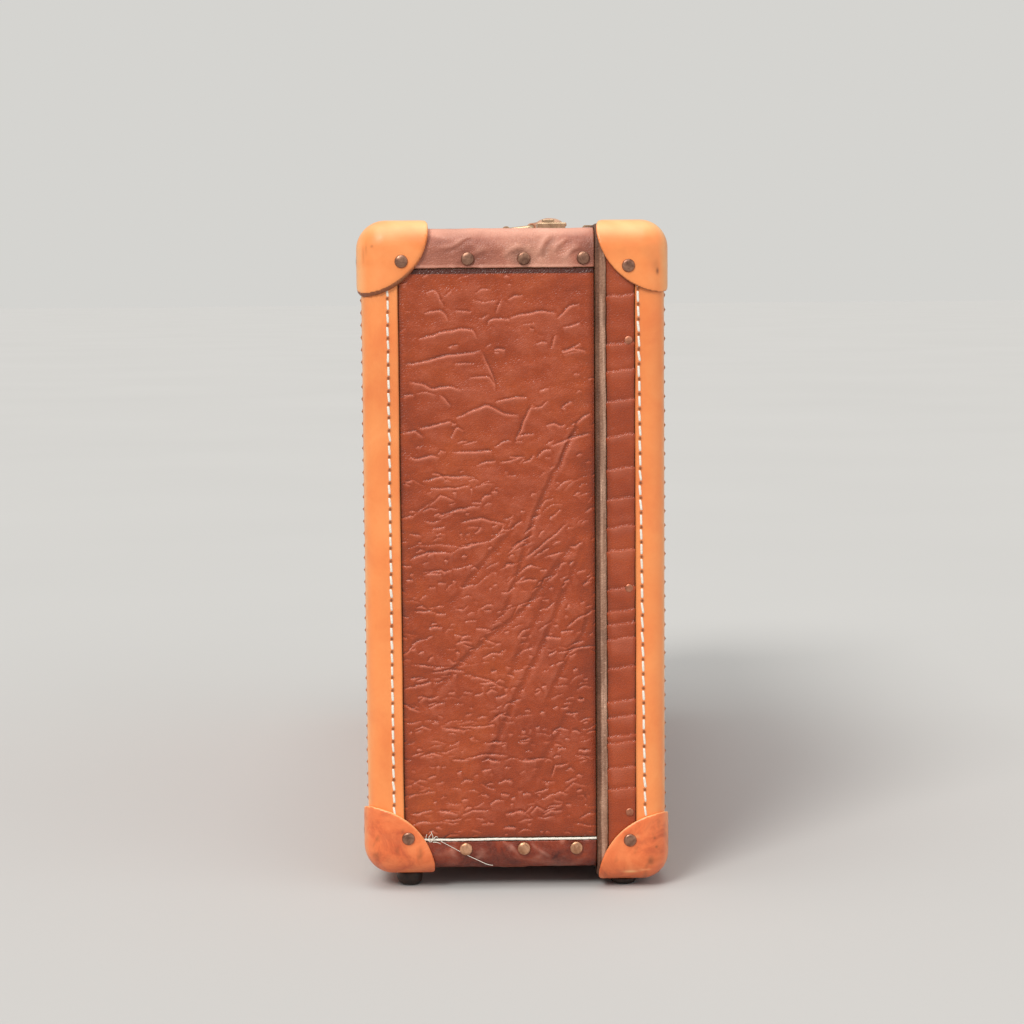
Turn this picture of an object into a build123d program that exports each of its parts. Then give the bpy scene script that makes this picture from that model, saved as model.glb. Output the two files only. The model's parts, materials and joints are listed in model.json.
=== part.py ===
from build123d import *
from math import cos, radians, sin
import os

# A leather suitcase standing on its hinge side, as it is carried. Millimetres.
# X runs through its thickness with the lid at +X, Y along its length, Z up.
# The origin is on the floor under the middle of the case.

# Whole case
case_thickness = 190.0  # over the leather corner caps of base and lid
case_length = 610.0  # over the lid's corner caps
base_height = 393.5  # over the board of the base's top and bottom walls
lid_depth = 45.0  # from its rim to its big face, over the corner caps
lid_foot_height = 4.0

# Boards of the two trays
base_board = 3.0
base_wall_radius = 12.0  # where two walls meet
base_edge_radius = 11.0  # where a wall meets the big face
base_entry = 8.0  # the base's walls reach this far into the lid
lid_board = 1.9
lid_wall_radius = 14.0
lid_edge_radius = 10.0
lid_gap_top = 0.4  # between the base's board and the lid's, at the top wall
lid_gap_end = 1.0
lid_gap_bottom = 3.7  # the lid hangs lower on its hinges
lining = 0.8

# Leather on the base
base_binding = 1.6
base_binding_wall = 22.6  # width of the binding on the walls
base_binding_face = 24.0  # width of the binding on the big face
binding_opening_radius = 6.0
base_cap_leather = 2.8
base_cap_edge_radius = 18.0
base_cover = 1.2
cover_rounding = 0.8
cover_gap = 0.4
band_leather = 1.5
band_leg_top = 22.5
band_leg_bottom = 17.4
band_panel_gap_top = 1.8
band_panel_gap_bottom = 2.4
welt_cord = 1.6

# Leather on the lid
lid_binding = 1.4
lid_binding_wall = 18.5
lid_binding_face = 20.0
lid_cap_leather = 2.4
lid_cap_edge_radius = 17.0
lid_border = 1.2
lid_rim = 1.4
lid_rim_width = 6.4
lid_rim_rounding = 0.6
lid_face_cover = 1.2

# Corner caps, rivets and feet
cap_clearance = 0.1
cap_reach = 45.0
base_cap_rivet_inset = 28.0  # from the caps' outer faces
base_cap_rivet_drop = 25.0
lid_cap_rivet_inset = 25.0
lid_cap_rivet_drop = 28.0
rivet_radius = 4.0
rivet_height = 1.6
rivet_edge = 0.4
small_rivet_radius = 2.15
small_rivet_height = 1.0
top_band_rivets_back = (77.0, 43.0, 7.0)  # from the lid's rim
bottom_band_rivets_back = (81.5, 45.5, 13.0)
top_band_rivet_inset = 17.0
bottom_band_rivet_inset = 12.8
border_rivet_rise = 41.2  # over the lid's bottom
border_rivet_drops = (69.0, 220.5)  # below the lid's top
border_rivets_aside = (-70.0, 30.0)  # from the hasps, outwards
border_rivet_inset = 3.6
foot_radius = 8.0
foot_sole_radius = 3.0
foot_dome_height = 3.0
foot_inset_x = 28.0
foot_inset_y = 22.0

# Hinges at the bottom
hinge_inset = 115.0  # from the case's end to the hinge's middle
hinge_width = 44.0
hinge_leaf = 1.0
hinge_leaf_length = 22.0
hinge_corner = 4.0
hinge_knuckle_gap = 0.3
hinge_lid_knuckle = 19.4
hinge_pin_radius = 1.5
hinge_bore_clearance = 0.05
hinge_swing_gap = 0.4
hinge_rim_cut = 0.3  # how much of the rim's leather is pared away under the lid leaf
hinge_rivet_spacing = 14.5
fitting_rivet_inset = 4.0  # from a leaf's edge
fitting_rivet_radius = 2.2
fitting_rivet_height = 1.0

# Lid stays
lid_opening = 100.0
stay_radius = 72.0  # of post and pin alike, from the hinge axis
stay_post_angle = 76.0
stay_pin_angle = 122.0
stay_bar_width = 8.0
stay_bar_leather_gap = 0.4
stay_bar = 1.5
stay_pin_radius = 2.0
stay_pin_clearance = 0.3
stay_post_clearance = 0.08
stay_post_radius = 3.5
stay_flange_radius = 8.0
stay_flange = 1.5
stay_head_radius = 3.5
stay_head = 1.0
stay_slot_run_on = 0.5
stay_bar_run_on = 3.0

# Locks on top, set back from the lid's rim
lock_inset = 115.0  # from the case's end to the lock's middle
lock_plate_back = 42.0
lock_plate_front = 4.0
lock_plate_width = 40.0
lock_plate = 0.6
lock_box_back = 32.0
lock_box_front = 14.0
lock_box_width = 36.0
lock_box_height = 5.6
lock_box_rounding = 0.8
lock_corner = 3.0
lock_rivet_half_spacing = 12.0
lock_channel_back = 29.6
lock_channel_half = 2.9
bolt_back = 25.0
bolt_radius = 1.2
bolt_clearance = 0.25
bolt_height = 3.5  # axis over the leather
bolt_withdrawn = 0.2  # from the channel's side
bolt_travel = 7.0
bolt_length = 12.0
bolt_keeper = 6.0
bolt_stem_radius = 0.9
bolt_stem_inset = 2.0
button_gap = 0.3
button_width = 7.0
button_length = 8.0
button_height = 1.8
button_corner = 1.2
button_rounding = 0.6

# Hasps on the lid, in line with the locks
hasp_axis_front = 10.2  # in front of the lid's rim
hasp_knuckle_radius = 1.6
hasp_pin_radius = 0.8
hasp_bore_clearance = 0.06
hasp_plate = 0.9
hasp_plate_gap = 0.5  # to the lid's binding
hasp_plate_width = 24.0
hasp_rivet_half_spacing = 6.0
hasp_knuckle = 10.0
hasp_knuckle_gap = 0.3
hasp_strap = 1.0
hasp_strap_width = 16.0
hasp_neck_front = 7.8
hasp_bend_back = 0.8
hasp_bend = 1.6
hasp_over_rim = 0.5
hasp_tongue_width = 5.0
hasp_tongue_back = 12.0
hasp_tongue_height = 1.0  # underside over the leather
hasp_hook_back = 28.0
hasp_hook = 1.2
hasp_hook_height = 4.8

# Handle, folded down towards the lid
handle_back = 50.0  # from the lid's rim to the handle's pivots
handle_spacing = 124.0
handle_tilt = 6.5
ring_wire = 2.0
ring_reach = 18.0
ring_half_width = 9.0
ring_corner = 3.0
ring_clearance = 0.3
bracket_length = 34.0
bracket_width = 20.0
bracket = 1.2
bracket_corner = 3.0
bracket_rivet_reach = 11.3
bracket_strap = 1.1
bracket_strap_width = 8.0
grip_reach = 31.0
grip_bend = 12.0
grip_width = 21.0
grip_thickness = 13.0
tab_width = 11.0
tab_radius = 3.6
tab_bore_clearance = 0.1
welt_reach = 2.0
welt_half_thickness = 1.4

# Layers out from the boards
base_cap_inner = base_binding + cap_clearance
base_cap_outer = base_cap_inner + base_cap_leather
lid_cap_inner = max(lid_binding, lid_rim) + cap_clearance
lid_cap_outer = lid_cap_inner + lid_cap_leather

# Places of the boards' outer faces and of the lid's rim
lid_line_x = case_thickness / 2 - lid_depth
base_back_x = -case_thickness / 2 + base_cap_outer
lid_face_x = case_thickness / 2 - lid_cap_outer
lid_half = case_length / 2 - lid_cap_outer
base_half = lid_half - lid_board - lid_gap_end
lid_bottom_z = lid_foot_height + lid_cap_outer
base_bottom_z = lid_bottom_z + lid_board + lid_gap_bottom
base_top_z = base_bottom_z + base_height
lid_top_z = base_top_z + lid_gap_top + lid_board
base_mouth_x = lid_line_x + base_entry
beyond = 30.0  # how far cutting blocks run past what they cut

ENDS = ((-1, "left"), (1, "right"))
LEVELS = ((-1, "bottom"), (1, "top"))


def rounded_block(low_x, high_x, half_y, low_z, high_z, wall_radius, edge_radius, face):
    """Block with four rounded wall corners, and the edges of one big face rounded."""
    with BuildPart() as block:
        with BuildSketch(Plane.YZ.offset(low_x)):
            with Locations((0, (low_z + high_z) / 2)):
                RectangleRounded(2 * half_y, high_z - low_z, wall_radius)
        extrude(amount=high_x - low_x)
        if face == "back":
            fillet(block.faces().sort_by(Axis.X)[0].edges(), edge_radius)
        if face == "front":
            fillet(block.faces().sort_by(Axis.X)[-1].edges(), edge_radius)
    return block.part


def base_block(grow, high_x, edge_radius=None):
    """The base's outer form, grown all round, from its big face to high_x."""
    edge = base_edge_radius + grow if edge_radius is None else edge_radius
    return rounded_block(
        base_back_x - grow,
        high_x,
        base_half + grow,
        base_bottom_z - grow,
        base_top_z + grow,
        base_wall_radius + grow,
        edge,
        "back",
    )


def lid_block(grow, low_x, edge_radius=None):
    """The lid's outer form, grown all round, from low_x to its big face."""
    edge = lid_edge_radius + grow if edge_radius is None else edge_radius
    return rounded_block(
        low_x,
        lid_face_x + grow,
        lid_half + grow,
        lid_bottom_z - grow,
        lid_top_z + grow,
        lid_wall_radius + grow,
        edge,
        "front",
    )


def box_between(x_span, y_span, z_span, mode=Mode.ADD):
    """Box between two values on each axis, in the open part."""
    spans = (sorted(x_span), sorted(y_span), sorted(z_span))
    with Locations(tuple((low + high) / 2 for low, high in spans)):
        Box(*(high - low for low, high in spans), mode=mode)


def dome(radius, height):
    """Rivet head: a low dome on a short rim, its flat side at z = 0."""
    with BuildPart() as head:
        with BuildSketch(Plane.XZ):
            with BuildLine():
                Line((0, 0), (radius, 0))
                Line((radius, 0), (radius, rivet_edge))
                RadiusArc((radius, rivet_edge), (0, height), dome_curve(radius, height))
                Line((0, height), (0, 0))
            make_face()
        revolve(axis=Axis.Z)
    return head.part


def dome_curve(radius, height):
    """Radius of the arc from the rim to the crown, negative to bulge outwards."""
    rise = height - rivet_edge
    return -(radius**2 + rise**2) / (2 * rise)


def seat(x, y, z, normal):
    """Place of a head that sits on a face with this normal."""
    return Plane(origin=(x, y, z), z_dir=normal).location


def heads(radius, height, seats):
    """A group of equal rivet heads."""
    head = dome(radius, height)
    with BuildPart() as group:
        with Locations(*seats):
            add(head)
    return group


def finish(piece, name):
    """Names a finished piece and writes its file."""
    piece.part.label = name
    export_step(piece.part, f"parts/{name}.step")


os.makedirs("parts", exist_ok=True)

# Base tray: board, lining, binding
base_outer = base_block(0, base_mouth_x)
base_cavity = base_block(-base_board, base_mouth_x + beyond)
with BuildPart() as base_shell:
    add(base_outer)
    add(base_cavity, mode=Mode.SUBTRACT)
finish(base_shell, "base_shell")

base_lining_outer = base_block(-base_board, base_mouth_x)
base_lining_cavity = base_block(-base_board - lining, base_mouth_x + beyond)
with BuildPart() as base_lining:
    add(base_lining_outer)
    add(base_lining_cavity, mode=Mode.SUBTRACT)
finish(base_lining, "base_lining")

base_solid = base_block(0, base_mouth_x + beyond)
base_binding_x = base_back_x - base_binding + base_binding_wall
base_binding_block = base_block(base_binding, base_binding_x)
base_opening_y = base_half + base_binding - base_binding_face
base_opening_z = base_height / 2 + base_binding - base_binding_face
base_middle_z = (base_bottom_z + base_top_z) / 2
with BuildPart() as base_binding_ring:
    add(base_binding_block)
    add(base_solid, mode=Mode.SUBTRACT)
    with BuildSketch(Plane.YZ.offset(base_back_x)):
        with Locations((0, base_middle_z)):
            RectangleRounded(2 * base_opening_y, 2 * base_opening_z, binding_opening_radius)
    extrude(amount=-beyond, mode=Mode.SUBTRACT)
finish(base_binding_ring, "base_binding")

# Leather panels on the base, between binding, bands and rim
cover_low_x = base_binding_x + cover_gap
cover_high_x = lid_line_x - cover_gap
panel_low_z = base_bottom_z + band_leg_bottom + band_panel_gap_bottom
panel_high_z = base_top_z - band_leg_top - band_panel_gap_top
for side, end in ENDS:
    outer_y = side * (base_half + base_cover)
    with BuildPart() as end_panel:
        box_between(
            (cover_low_x, cover_high_x),
            (side * base_half, outer_y),
            (panel_low_z, panel_high_z),
        )
        fillet(end_panel.faces().sort_by(Axis.Y)[0 if side < 0 else -1].edges(), cover_rounding)
    finish(end_panel, f"base_end_panel_{end}")

band_legs = {"top": band_leg_top, "bottom": band_leg_bottom}
for side, level in LEVELS:
    wall_z = base_top_z if side > 0 else base_bottom_z
    half_y = base_half - band_legs[level] - cover_gap
    with BuildPart() as wall_cover:
        box_between(
            (cover_low_x, cover_high_x),
            (-half_y, half_y),
            (wall_z, wall_z + side * base_cover),
        )
    finish(wall_cover, f"base_{level}_cover")

with BuildPart() as base_back_panel:
    with BuildSketch(Plane.YZ.offset(base_back_x)):
        with Locations((0, base_middle_z)):
            RectangleRounded(
                2 * (base_opening_y - cover_gap),
                2 * (base_opening_z - cover_gap),
                binding_opening_radius - cover_gap,
            )
    extrude(amount=-base_cover)
    fillet(base_back_panel.faces().sort_by(Axis.X)[0].edges(), cover_rounding)
finish(base_back_panel, "base_back_panel")

# Riveted bands over the four wall corners of the base
band_block = base_block(band_leather, base_mouth_x)
for side, end in ENDS:
    for up, level in LEVELS:
        leg = band_legs[level]
        wall_z = base_top_z if up > 0 else base_bottom_z
        with BuildPart() as edge_band:
            add(band_block)
            add(base_solid, mode=Mode.SUBTRACT)
            box_between(
                (cover_low_x, cover_high_x),
                (side * (base_half - leg), side * (base_half + beyond)),
                (wall_z - up * leg, wall_z + up * beyond),
                mode=Mode.INTERSECT,
            )
        finish(edge_band, f"edge_band_{level}_{end}")

with BuildPart() as welt_cords:
    for side, end in ENDS:
        with BuildSketch(Plane.YZ.offset(cover_low_x)):
            with Locations(
                (
                    side * (base_half + welt_cord / 2),
                    base_bottom_z + band_leg_bottom + band_panel_gap_bottom / 2,
                )
            ):
                Circle(welt_cord / 2)
    extrude(amount=cover_high_x - cover_low_x)
finish(welt_cords, "welt_cords")

# Corner caps: moulded leather, each the part of a grown tray within reach of its corner
base_cap_block = base_block(base_cap_outer, base_mouth_x, base_cap_edge_radius)
base_cap_core = base_block(base_cap_inner, base_mouth_x + beyond)
lid_cap_block = lid_block(lid_cap_outer, lid_line_x - beyond, lid_cap_edge_radius)
lid_cap_core = lid_block(lid_cap_inner, lid_line_x - 2 * beyond)
tray_caps = (
    (
        "base",
        base_cap_block,
        base_cap_core,
        base_back_x - base_cap_outer,
        base_half + base_cap_outer,
        {"top": base_top_z + base_cap_outer, "bottom": base_bottom_z - base_cap_outer},
    ),
    (
        "lid",
        lid_cap_block,
        lid_cap_core,
        lid_face_x + lid_cap_outer,
        lid_half + lid_cap_outer,
        {"top": lid_top_z + lid_cap_outer, "bottom": lid_bottom_z - lid_cap_outer},
    ),
)
for tray, block, core, corner_x, corner_y, corner_z in tray_caps:
    for side, end in ENDS:
        for up, level in LEVELS:
            with BuildPart() as corner_cap:
                add(block)
                add(core, mode=Mode.SUBTRACT)
                with Locations((corner_x, side * corner_y, corner_z[level])):
                    Sphere(cap_reach, mode=Mode.INTERSECT)
            finish(corner_cap, f"{tray}_cap_{level}_{end}")

# Lid tray: board, lining, rim, border, binding, face panel
lid_outer = lid_block(0, lid_line_x + cover_gap)
lid_cavity = lid_block(-lid_board, lid_line_x - beyond)
with BuildPart() as lid_shell:
    add(lid_outer)
    add(lid_cavity, mode=Mode.SUBTRACT)
finish(lid_shell, "lid_shell")

lid_lining_x = base_mouth_x + lining
lid_lining_outer = lid_block(-lid_board, lid_lining_x)
lid_lining_cavity = lid_block(-lid_board - lining, lid_lining_x - beyond)
with BuildPart() as lid_lining:
    add(lid_lining_outer)
    add(lid_lining_cavity, mode=Mode.SUBTRACT)
finish(lid_lining, "lid_lining")

hinge_top_z = base_bottom_z - base_cover
hinge_bottom_z = lid_bottom_z - lid_border - hinge_leaf
hinge_radius = (hinge_top_z - hinge_bottom_z) / 2
hinge_z = (hinge_top_z + hinge_bottom_z) / 2
hinge_x = lid_line_x - hinge_radius - hinge_swing_gap
hinge_reach = case_length / 2 - hinge_inset
hinge_centres = (-hinge_reach, hinge_reach)

lid_rim_x = lid_line_x + lid_rim_width
with BuildPart() as rim_section:
    with BuildSketch(Plane.YZ.offset(lid_line_x)):
        with Locations((0, (lid_bottom_z + lid_top_z) / 2)):
            RectangleRounded(
                2 * (lid_half + lid_rim),
                lid_top_z - lid_bottom_z + 2 * lid_rim,
                lid_wall_radius + lid_rim,
            )
    extrude(amount=lid_rim_width)
    rim_edges = rim_section.faces().filter_by(Axis.X).edges()
    fillet(rim_edges, lid_rim_rounding)
with BuildPart() as lid_rim_ring:
    add(rim_section.part)
    add(lid_outer, mode=Mode.SUBTRACT)
    add(lid_cavity, mode=Mode.SUBTRACT)
    for centre_y in hinge_centres:
        half = hinge_width / 2 + hinge_swing_gap
        box_between(
            (lid_line_x - beyond, lid_rim_x + beyond),
            (centre_y - half, centre_y + half),
            (lid_bottom_z - beyond, lid_bottom_z - lid_rim + hinge_rim_cut),
            mode=Mode.SUBTRACT,
        )
finish(lid_rim_ring, "lid_rim")

lid_binding_x = lid_face_x + lid_binding - lid_binding_wall
border_block = rounded_block(
    lid_rim_x + cover_gap,
    lid_binding_x - cover_gap,
    lid_half + lid_border,
    lid_bottom_z - lid_border,
    lid_top_z + lid_border,
    lid_wall_radius + lid_border,
    0,
    "none",
)
with BuildPart() as lid_border_ring:
    add(border_block)
    add(lid_outer, mode=Mode.SUBTRACT)
finish(lid_border_ring, "lid_border")

lid_binding_block = lid_block(lid_binding, lid_binding_x)
lid_solid = lid_block(0, lid_line_x)
lid_middle_z = (lid_bottom_z + lid_top_z) / 2
lid_opening_y = lid_half + lid_binding - lid_binding_face
lid_opening_z = (lid_top_z - lid_bottom_z) / 2 + lid_binding - lid_binding_face
with BuildPart() as lid_binding_ring:
    add(lid_binding_block)
    add(lid_solid, mode=Mode.SUBTRACT)
    with BuildSketch(Plane.YZ.offset(lid_face_x)):
        with Locations((0, lid_middle_z)):
            RectangleRounded(2 * lid_opening_y, 2 * lid_opening_z, binding_opening_radius)
    extrude(amount=beyond, mode=Mode.SUBTRACT)
finish(lid_binding_ring, "lid_binding")

with BuildPart() as lid_face_panel:
    with BuildSketch(Plane.YZ.offset(lid_face_x)):
        with Locations((0, lid_middle_z)):
            RectangleRounded(
                2 * (lid_opening_y - cover_gap),
                2 * (lid_opening_z - cover_gap),
                binding_opening_radius - cover_gap,
            )
    extrude(amount=lid_face_cover)
    fillet(lid_face_panel.faces().sort_by(Axis.X)[-1].edges(), cover_rounding)
finish(lid_face_panel, "lid_face_panel")

# Rivets
band_rivet_seats = []
band_surface = base_half + band_leather
for side, end in ENDS:
    for back in top_band_rivets_back:
        x = lid_line_x - back
        band_rivet_seats.append(
            seat(x, side * band_surface, base_top_z - top_band_rivet_inset, (0, side, 0))
        )
    for back in bottom_band_rivets_back:
        x = lid_line_x - back
        band_rivet_seats.append(
            seat(x, side * band_surface, base_bottom_z + bottom_band_rivet_inset, (0, side, 0))
        )
finish(heads(rivet_radius, rivet_height, band_rivet_seats), "band_rivets")

cap_rivet_places = {
    "base": (-1, base_cap_rivet_inset, base_cap_rivet_drop),
    "lid": (1, lid_cap_rivet_inset, lid_cap_rivet_drop),
}
for tray, block, core, corner_x, corner_y, corner_z in tray_caps:
    out_x, inset, drop = cap_rivet_places[tray]
    in_x = corner_x - out_x * inset
    cap_seats = []
    for side, end in ENDS:
        in_y = side * (corner_y - inset)
        for up, level in LEVELS:
            in_z = corner_z[level] - up * drop
            cap_seats.append(seat(in_x, side * corner_y, in_z, (0, side, 0)))
            cap_seats.append(seat(corner_x, in_y, in_z, (out_x, 0, 0)))
    finish(heads(rivet_radius, rivet_height, cap_seats), f"{tray}_cap_rivets")

lock_reach = case_length / 2 - lock_inset
lock_centres = (-lock_reach, lock_reach)
border_rivet_x = lid_binding_x - cover_gap - border_rivet_inset
border_rivets_z = [lid_top_z - drop for drop in border_rivet_drops]
border_rivets_z.append(lid_bottom_z + border_rivet_rise)
border_seats = []
for side, end in ENDS:
    for z in border_rivets_z:
        border_seats.append(seat(border_rivet_x, side * (lid_half + lid_border), z, (0, side, 0)))
    for aside in border_rivets_aside:
        y = side * (lock_reach + aside)
        border_seats.append(seat(border_rivet_x, y, lid_top_z + lid_border, (0, 0, 1)))
finish(heads(small_rivet_radius, small_rivet_height, border_seats), "lid_border_rivets")


def foot(height):
    """Round foot with a domed lower edge, its flat sole at z = 0."""
    with BuildPart() as stud:
        with BuildSketch(Plane.XZ):
            with BuildLine():
                Line((0, 0), (foot_sole_radius, 0))
                TangentArc(
                    (foot_sole_radius, 0), (foot_radius, foot_dome_height), tangent=(1, 0)
                )
                Polyline((foot_radius, foot_dome_height), (foot_radius, height), (0, height), (0, 0))
            make_face()
        revolve(axis=Axis.Z)
    return stud.part


base_foot_height = base_bottom_z - base_cap_outer
foot_x = case_thickness / 2 - foot_inset_x
foot_plans = (
    ("base", foot(base_foot_height), -foot_x, base_half + base_cap_outer - foot_inset_y),
    ("lid", foot(lid_foot_height), foot_x, lid_half + lid_cap_outer - foot_inset_y),
)
for tray, stud, x, y in foot_plans:
    with BuildPart() as feet:
        with Locations((x, -y, 0), (x, y, 0)):
            add(stud)
    finish(feet, f"{tray}_feet")

# Hinges: three knuckles each, two on the base's leaf and one on the lid's
hinge_outer_knuckle = (hinge_width - hinge_lid_knuckle) / 2 - hinge_knuckle_gap
hinge_outer_centre = (hinge_width - hinge_outer_knuckle) / 2
lid_leaf_x = hinge_x + hinge_leaf_length
base_leaf_x = hinge_x - hinge_leaf_length
for side, end in ENDS:
    centre_y = side * hinge_reach
    low_y = centre_y - hinge_width / 2
    high_y = centre_y + hinge_width / 2
    with BuildPart() as base_leaf:
        box_between((base_leaf_x, hinge_x), (low_y, high_y), (hinge_top_z - hinge_leaf, hinge_top_z))
        fillet(base_leaf.edges().filter_by(Axis.Z).group_by(Axis.X)[0], hinge_corner)
        with Locations(
            (hinge_x, centre_y - hinge_outer_centre, hinge_z),
            (hinge_x, centre_y + hinge_outer_centre, hinge_z),
        ):
            Cylinder(hinge_radius, hinge_outer_knuckle, rotation=(90, 0, 0))
        half = hinge_lid_knuckle / 2 + hinge_knuckle_gap
        box_between(
            (hinge_x - hinge_radius - hinge_swing_gap, hinge_x + beyond),
            (centre_y - half, centre_y + half),
            (hinge_z - beyond, hinge_z + beyond),
            mode=Mode.SUBTRACT,
        )
        with Locations((hinge_x, centre_y, hinge_z)):
            Cylinder(
                hinge_pin_radius + hinge_bore_clearance,
                hinge_width + beyond,
                rotation=(90, 0, 0),
                mode=Mode.SUBTRACT,
            )
    finish(base_leaf, f"hinge_base_leaf_{end}")

    with BuildPart() as lid_leaf:
        box_between(
            (hinge_x, lid_leaf_x), (low_y, high_y), (hinge_bottom_z, hinge_bottom_z + hinge_leaf)
        )
        fillet(lid_leaf.edges().filter_by(Axis.Z).group_by(Axis.X)[-1], hinge_corner)
        for hand in (-1, 1):
            box_between(
                (hinge_x - beyond, hinge_x + hinge_radius + hinge_swing_gap),
                (
                    centre_y + hand * hinge_lid_knuckle / 2,
                    centre_y + hand * (hinge_width / 2 + beyond),
                ),
                (hinge_z - beyond, hinge_z + beyond),
                mode=Mode.SUBTRACT,
            )
        with Locations((hinge_x, centre_y, hinge_z)):
            Cylinder(hinge_radius, hinge_lid_knuckle, rotation=(90, 0, 0))
            Cylinder(
                hinge_pin_radius + hinge_bore_clearance,
                hinge_width + beyond,
                rotation=(90, 0, 0),
                mode=Mode.SUBTRACT,
            )
    finish(lid_leaf, f"hinge_lid_leaf_{end}")

with BuildPart() as hinge_pins:
    with Locations(*((hinge_x, centre_y, hinge_z) for centre_y in hinge_centres)):
        Cylinder(hinge_pin_radius, hinge_width, rotation=(90, 0, 0))
finish(hinge_pins, "hinge_pins")

# Lid stays: a slotted bar turns on a post in the lid and slides on a pin in the base.
# Post and pin are equally far from the hinge axis, so the bar turns half as far as the lid.
post_x = hinge_x + stay_radius * cos(radians(stay_post_angle))
post_z = hinge_z + stay_radius * sin(radians(stay_post_angle))
pin_x = hinge_x + stay_radius * cos(radians(stay_pin_angle))
pin_z = hinge_z + stay_radius * sin(radians(stay_pin_angle))
half_closed = radians(stay_pin_angle - stay_post_angle) / 2
half_open = radians(stay_pin_angle - stay_post_angle + lid_opening) / 2
reach_closed = 2 * stay_radius * sin(half_closed)
reach_open = 2 * stay_radius * sin(half_open)
bar_direction = ((pin_x - post_x) / reach_closed, 0, (pin_z - post_z) / reach_closed)
base_liner_y = base_half - base_board - lining
lid_liner_y = lid_half - lid_board - lining
bar_outer_y = base_liner_y - stay_flange - stay_bar_leather_gap
bar_inner_y = bar_outer_y - stay_bar
head_outer_y = bar_inner_y - stay_bar_leather_gap
head_inner_y = head_outer_y - stay_head
for side, end in ENDS:
    bar_plane = Plane(
        origin=(post_x, side * bar_inner_y, post_z), x_dir=bar_direction, z_dir=(0, side, 0)
    )
    bar_reach = reach_open + stay_bar_run_on
    slot_run = reach_open - reach_closed + 2 * stay_slot_run_on
    with BuildPart() as stay_bar_plate:
        with BuildSketch(bar_plane):
            with Locations((bar_reach / 2, 0)):
                SlotCenterToCenter(bar_reach, stay_bar_width)
            with Locations(((reach_closed + reach_open) / 2, 0)):
                SlotCenterToCenter(
                    slot_run, 2 * (stay_pin_radius + stay_pin_clearance), mode=Mode.SUBTRACT
                )
            Circle(stay_pin_radius + stay_post_clearance, mode=Mode.SUBTRACT)
        extrude(amount=stay_bar)
    finish(stay_bar_plate, f"stay_bar_{end}")


def stay_stud(x, z, root_y, shoulder_y, shoulder_radius, tip_y, flange_radius):
    """Studs at both ends: flange on the liner, shoulder, pin through the bar, and head."""
    with BuildPart() as studs:
        for side, end in ENDS:
            stages = (
                (root_y, root_y - stay_flange, flange_radius),
                (root_y, shoulder_y, shoulder_radius),
                (shoulder_y, tip_y, stay_pin_radius),
                (head_outer_y, tip_y, stay_head_radius),
            )
            for start_y, end_y, radius in stages:
                if abs(start_y - end_y) > 0:
                    with Locations((x, side * (start_y + end_y) / 2, z)):
                        Cylinder(radius, abs(start_y - end_y), rotation=(90, 0, 0))
    return studs


stay_pins = stay_stud(
    pin_x,
    pin_z,
    base_liner_y,
    base_liner_y - stay_flange,
    stay_post_radius,
    head_inner_y,
    stay_flange_radius,
)
finish(stay_pins, "stay_pins")
stay_posts = stay_stud(
    post_x,
    post_z,
    lid_liner_y,
    base_liner_y - stay_flange,
    stay_post_radius,
    head_inner_y,
    stay_post_radius,
)
finish(stay_posts, "stay_posts")

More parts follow.
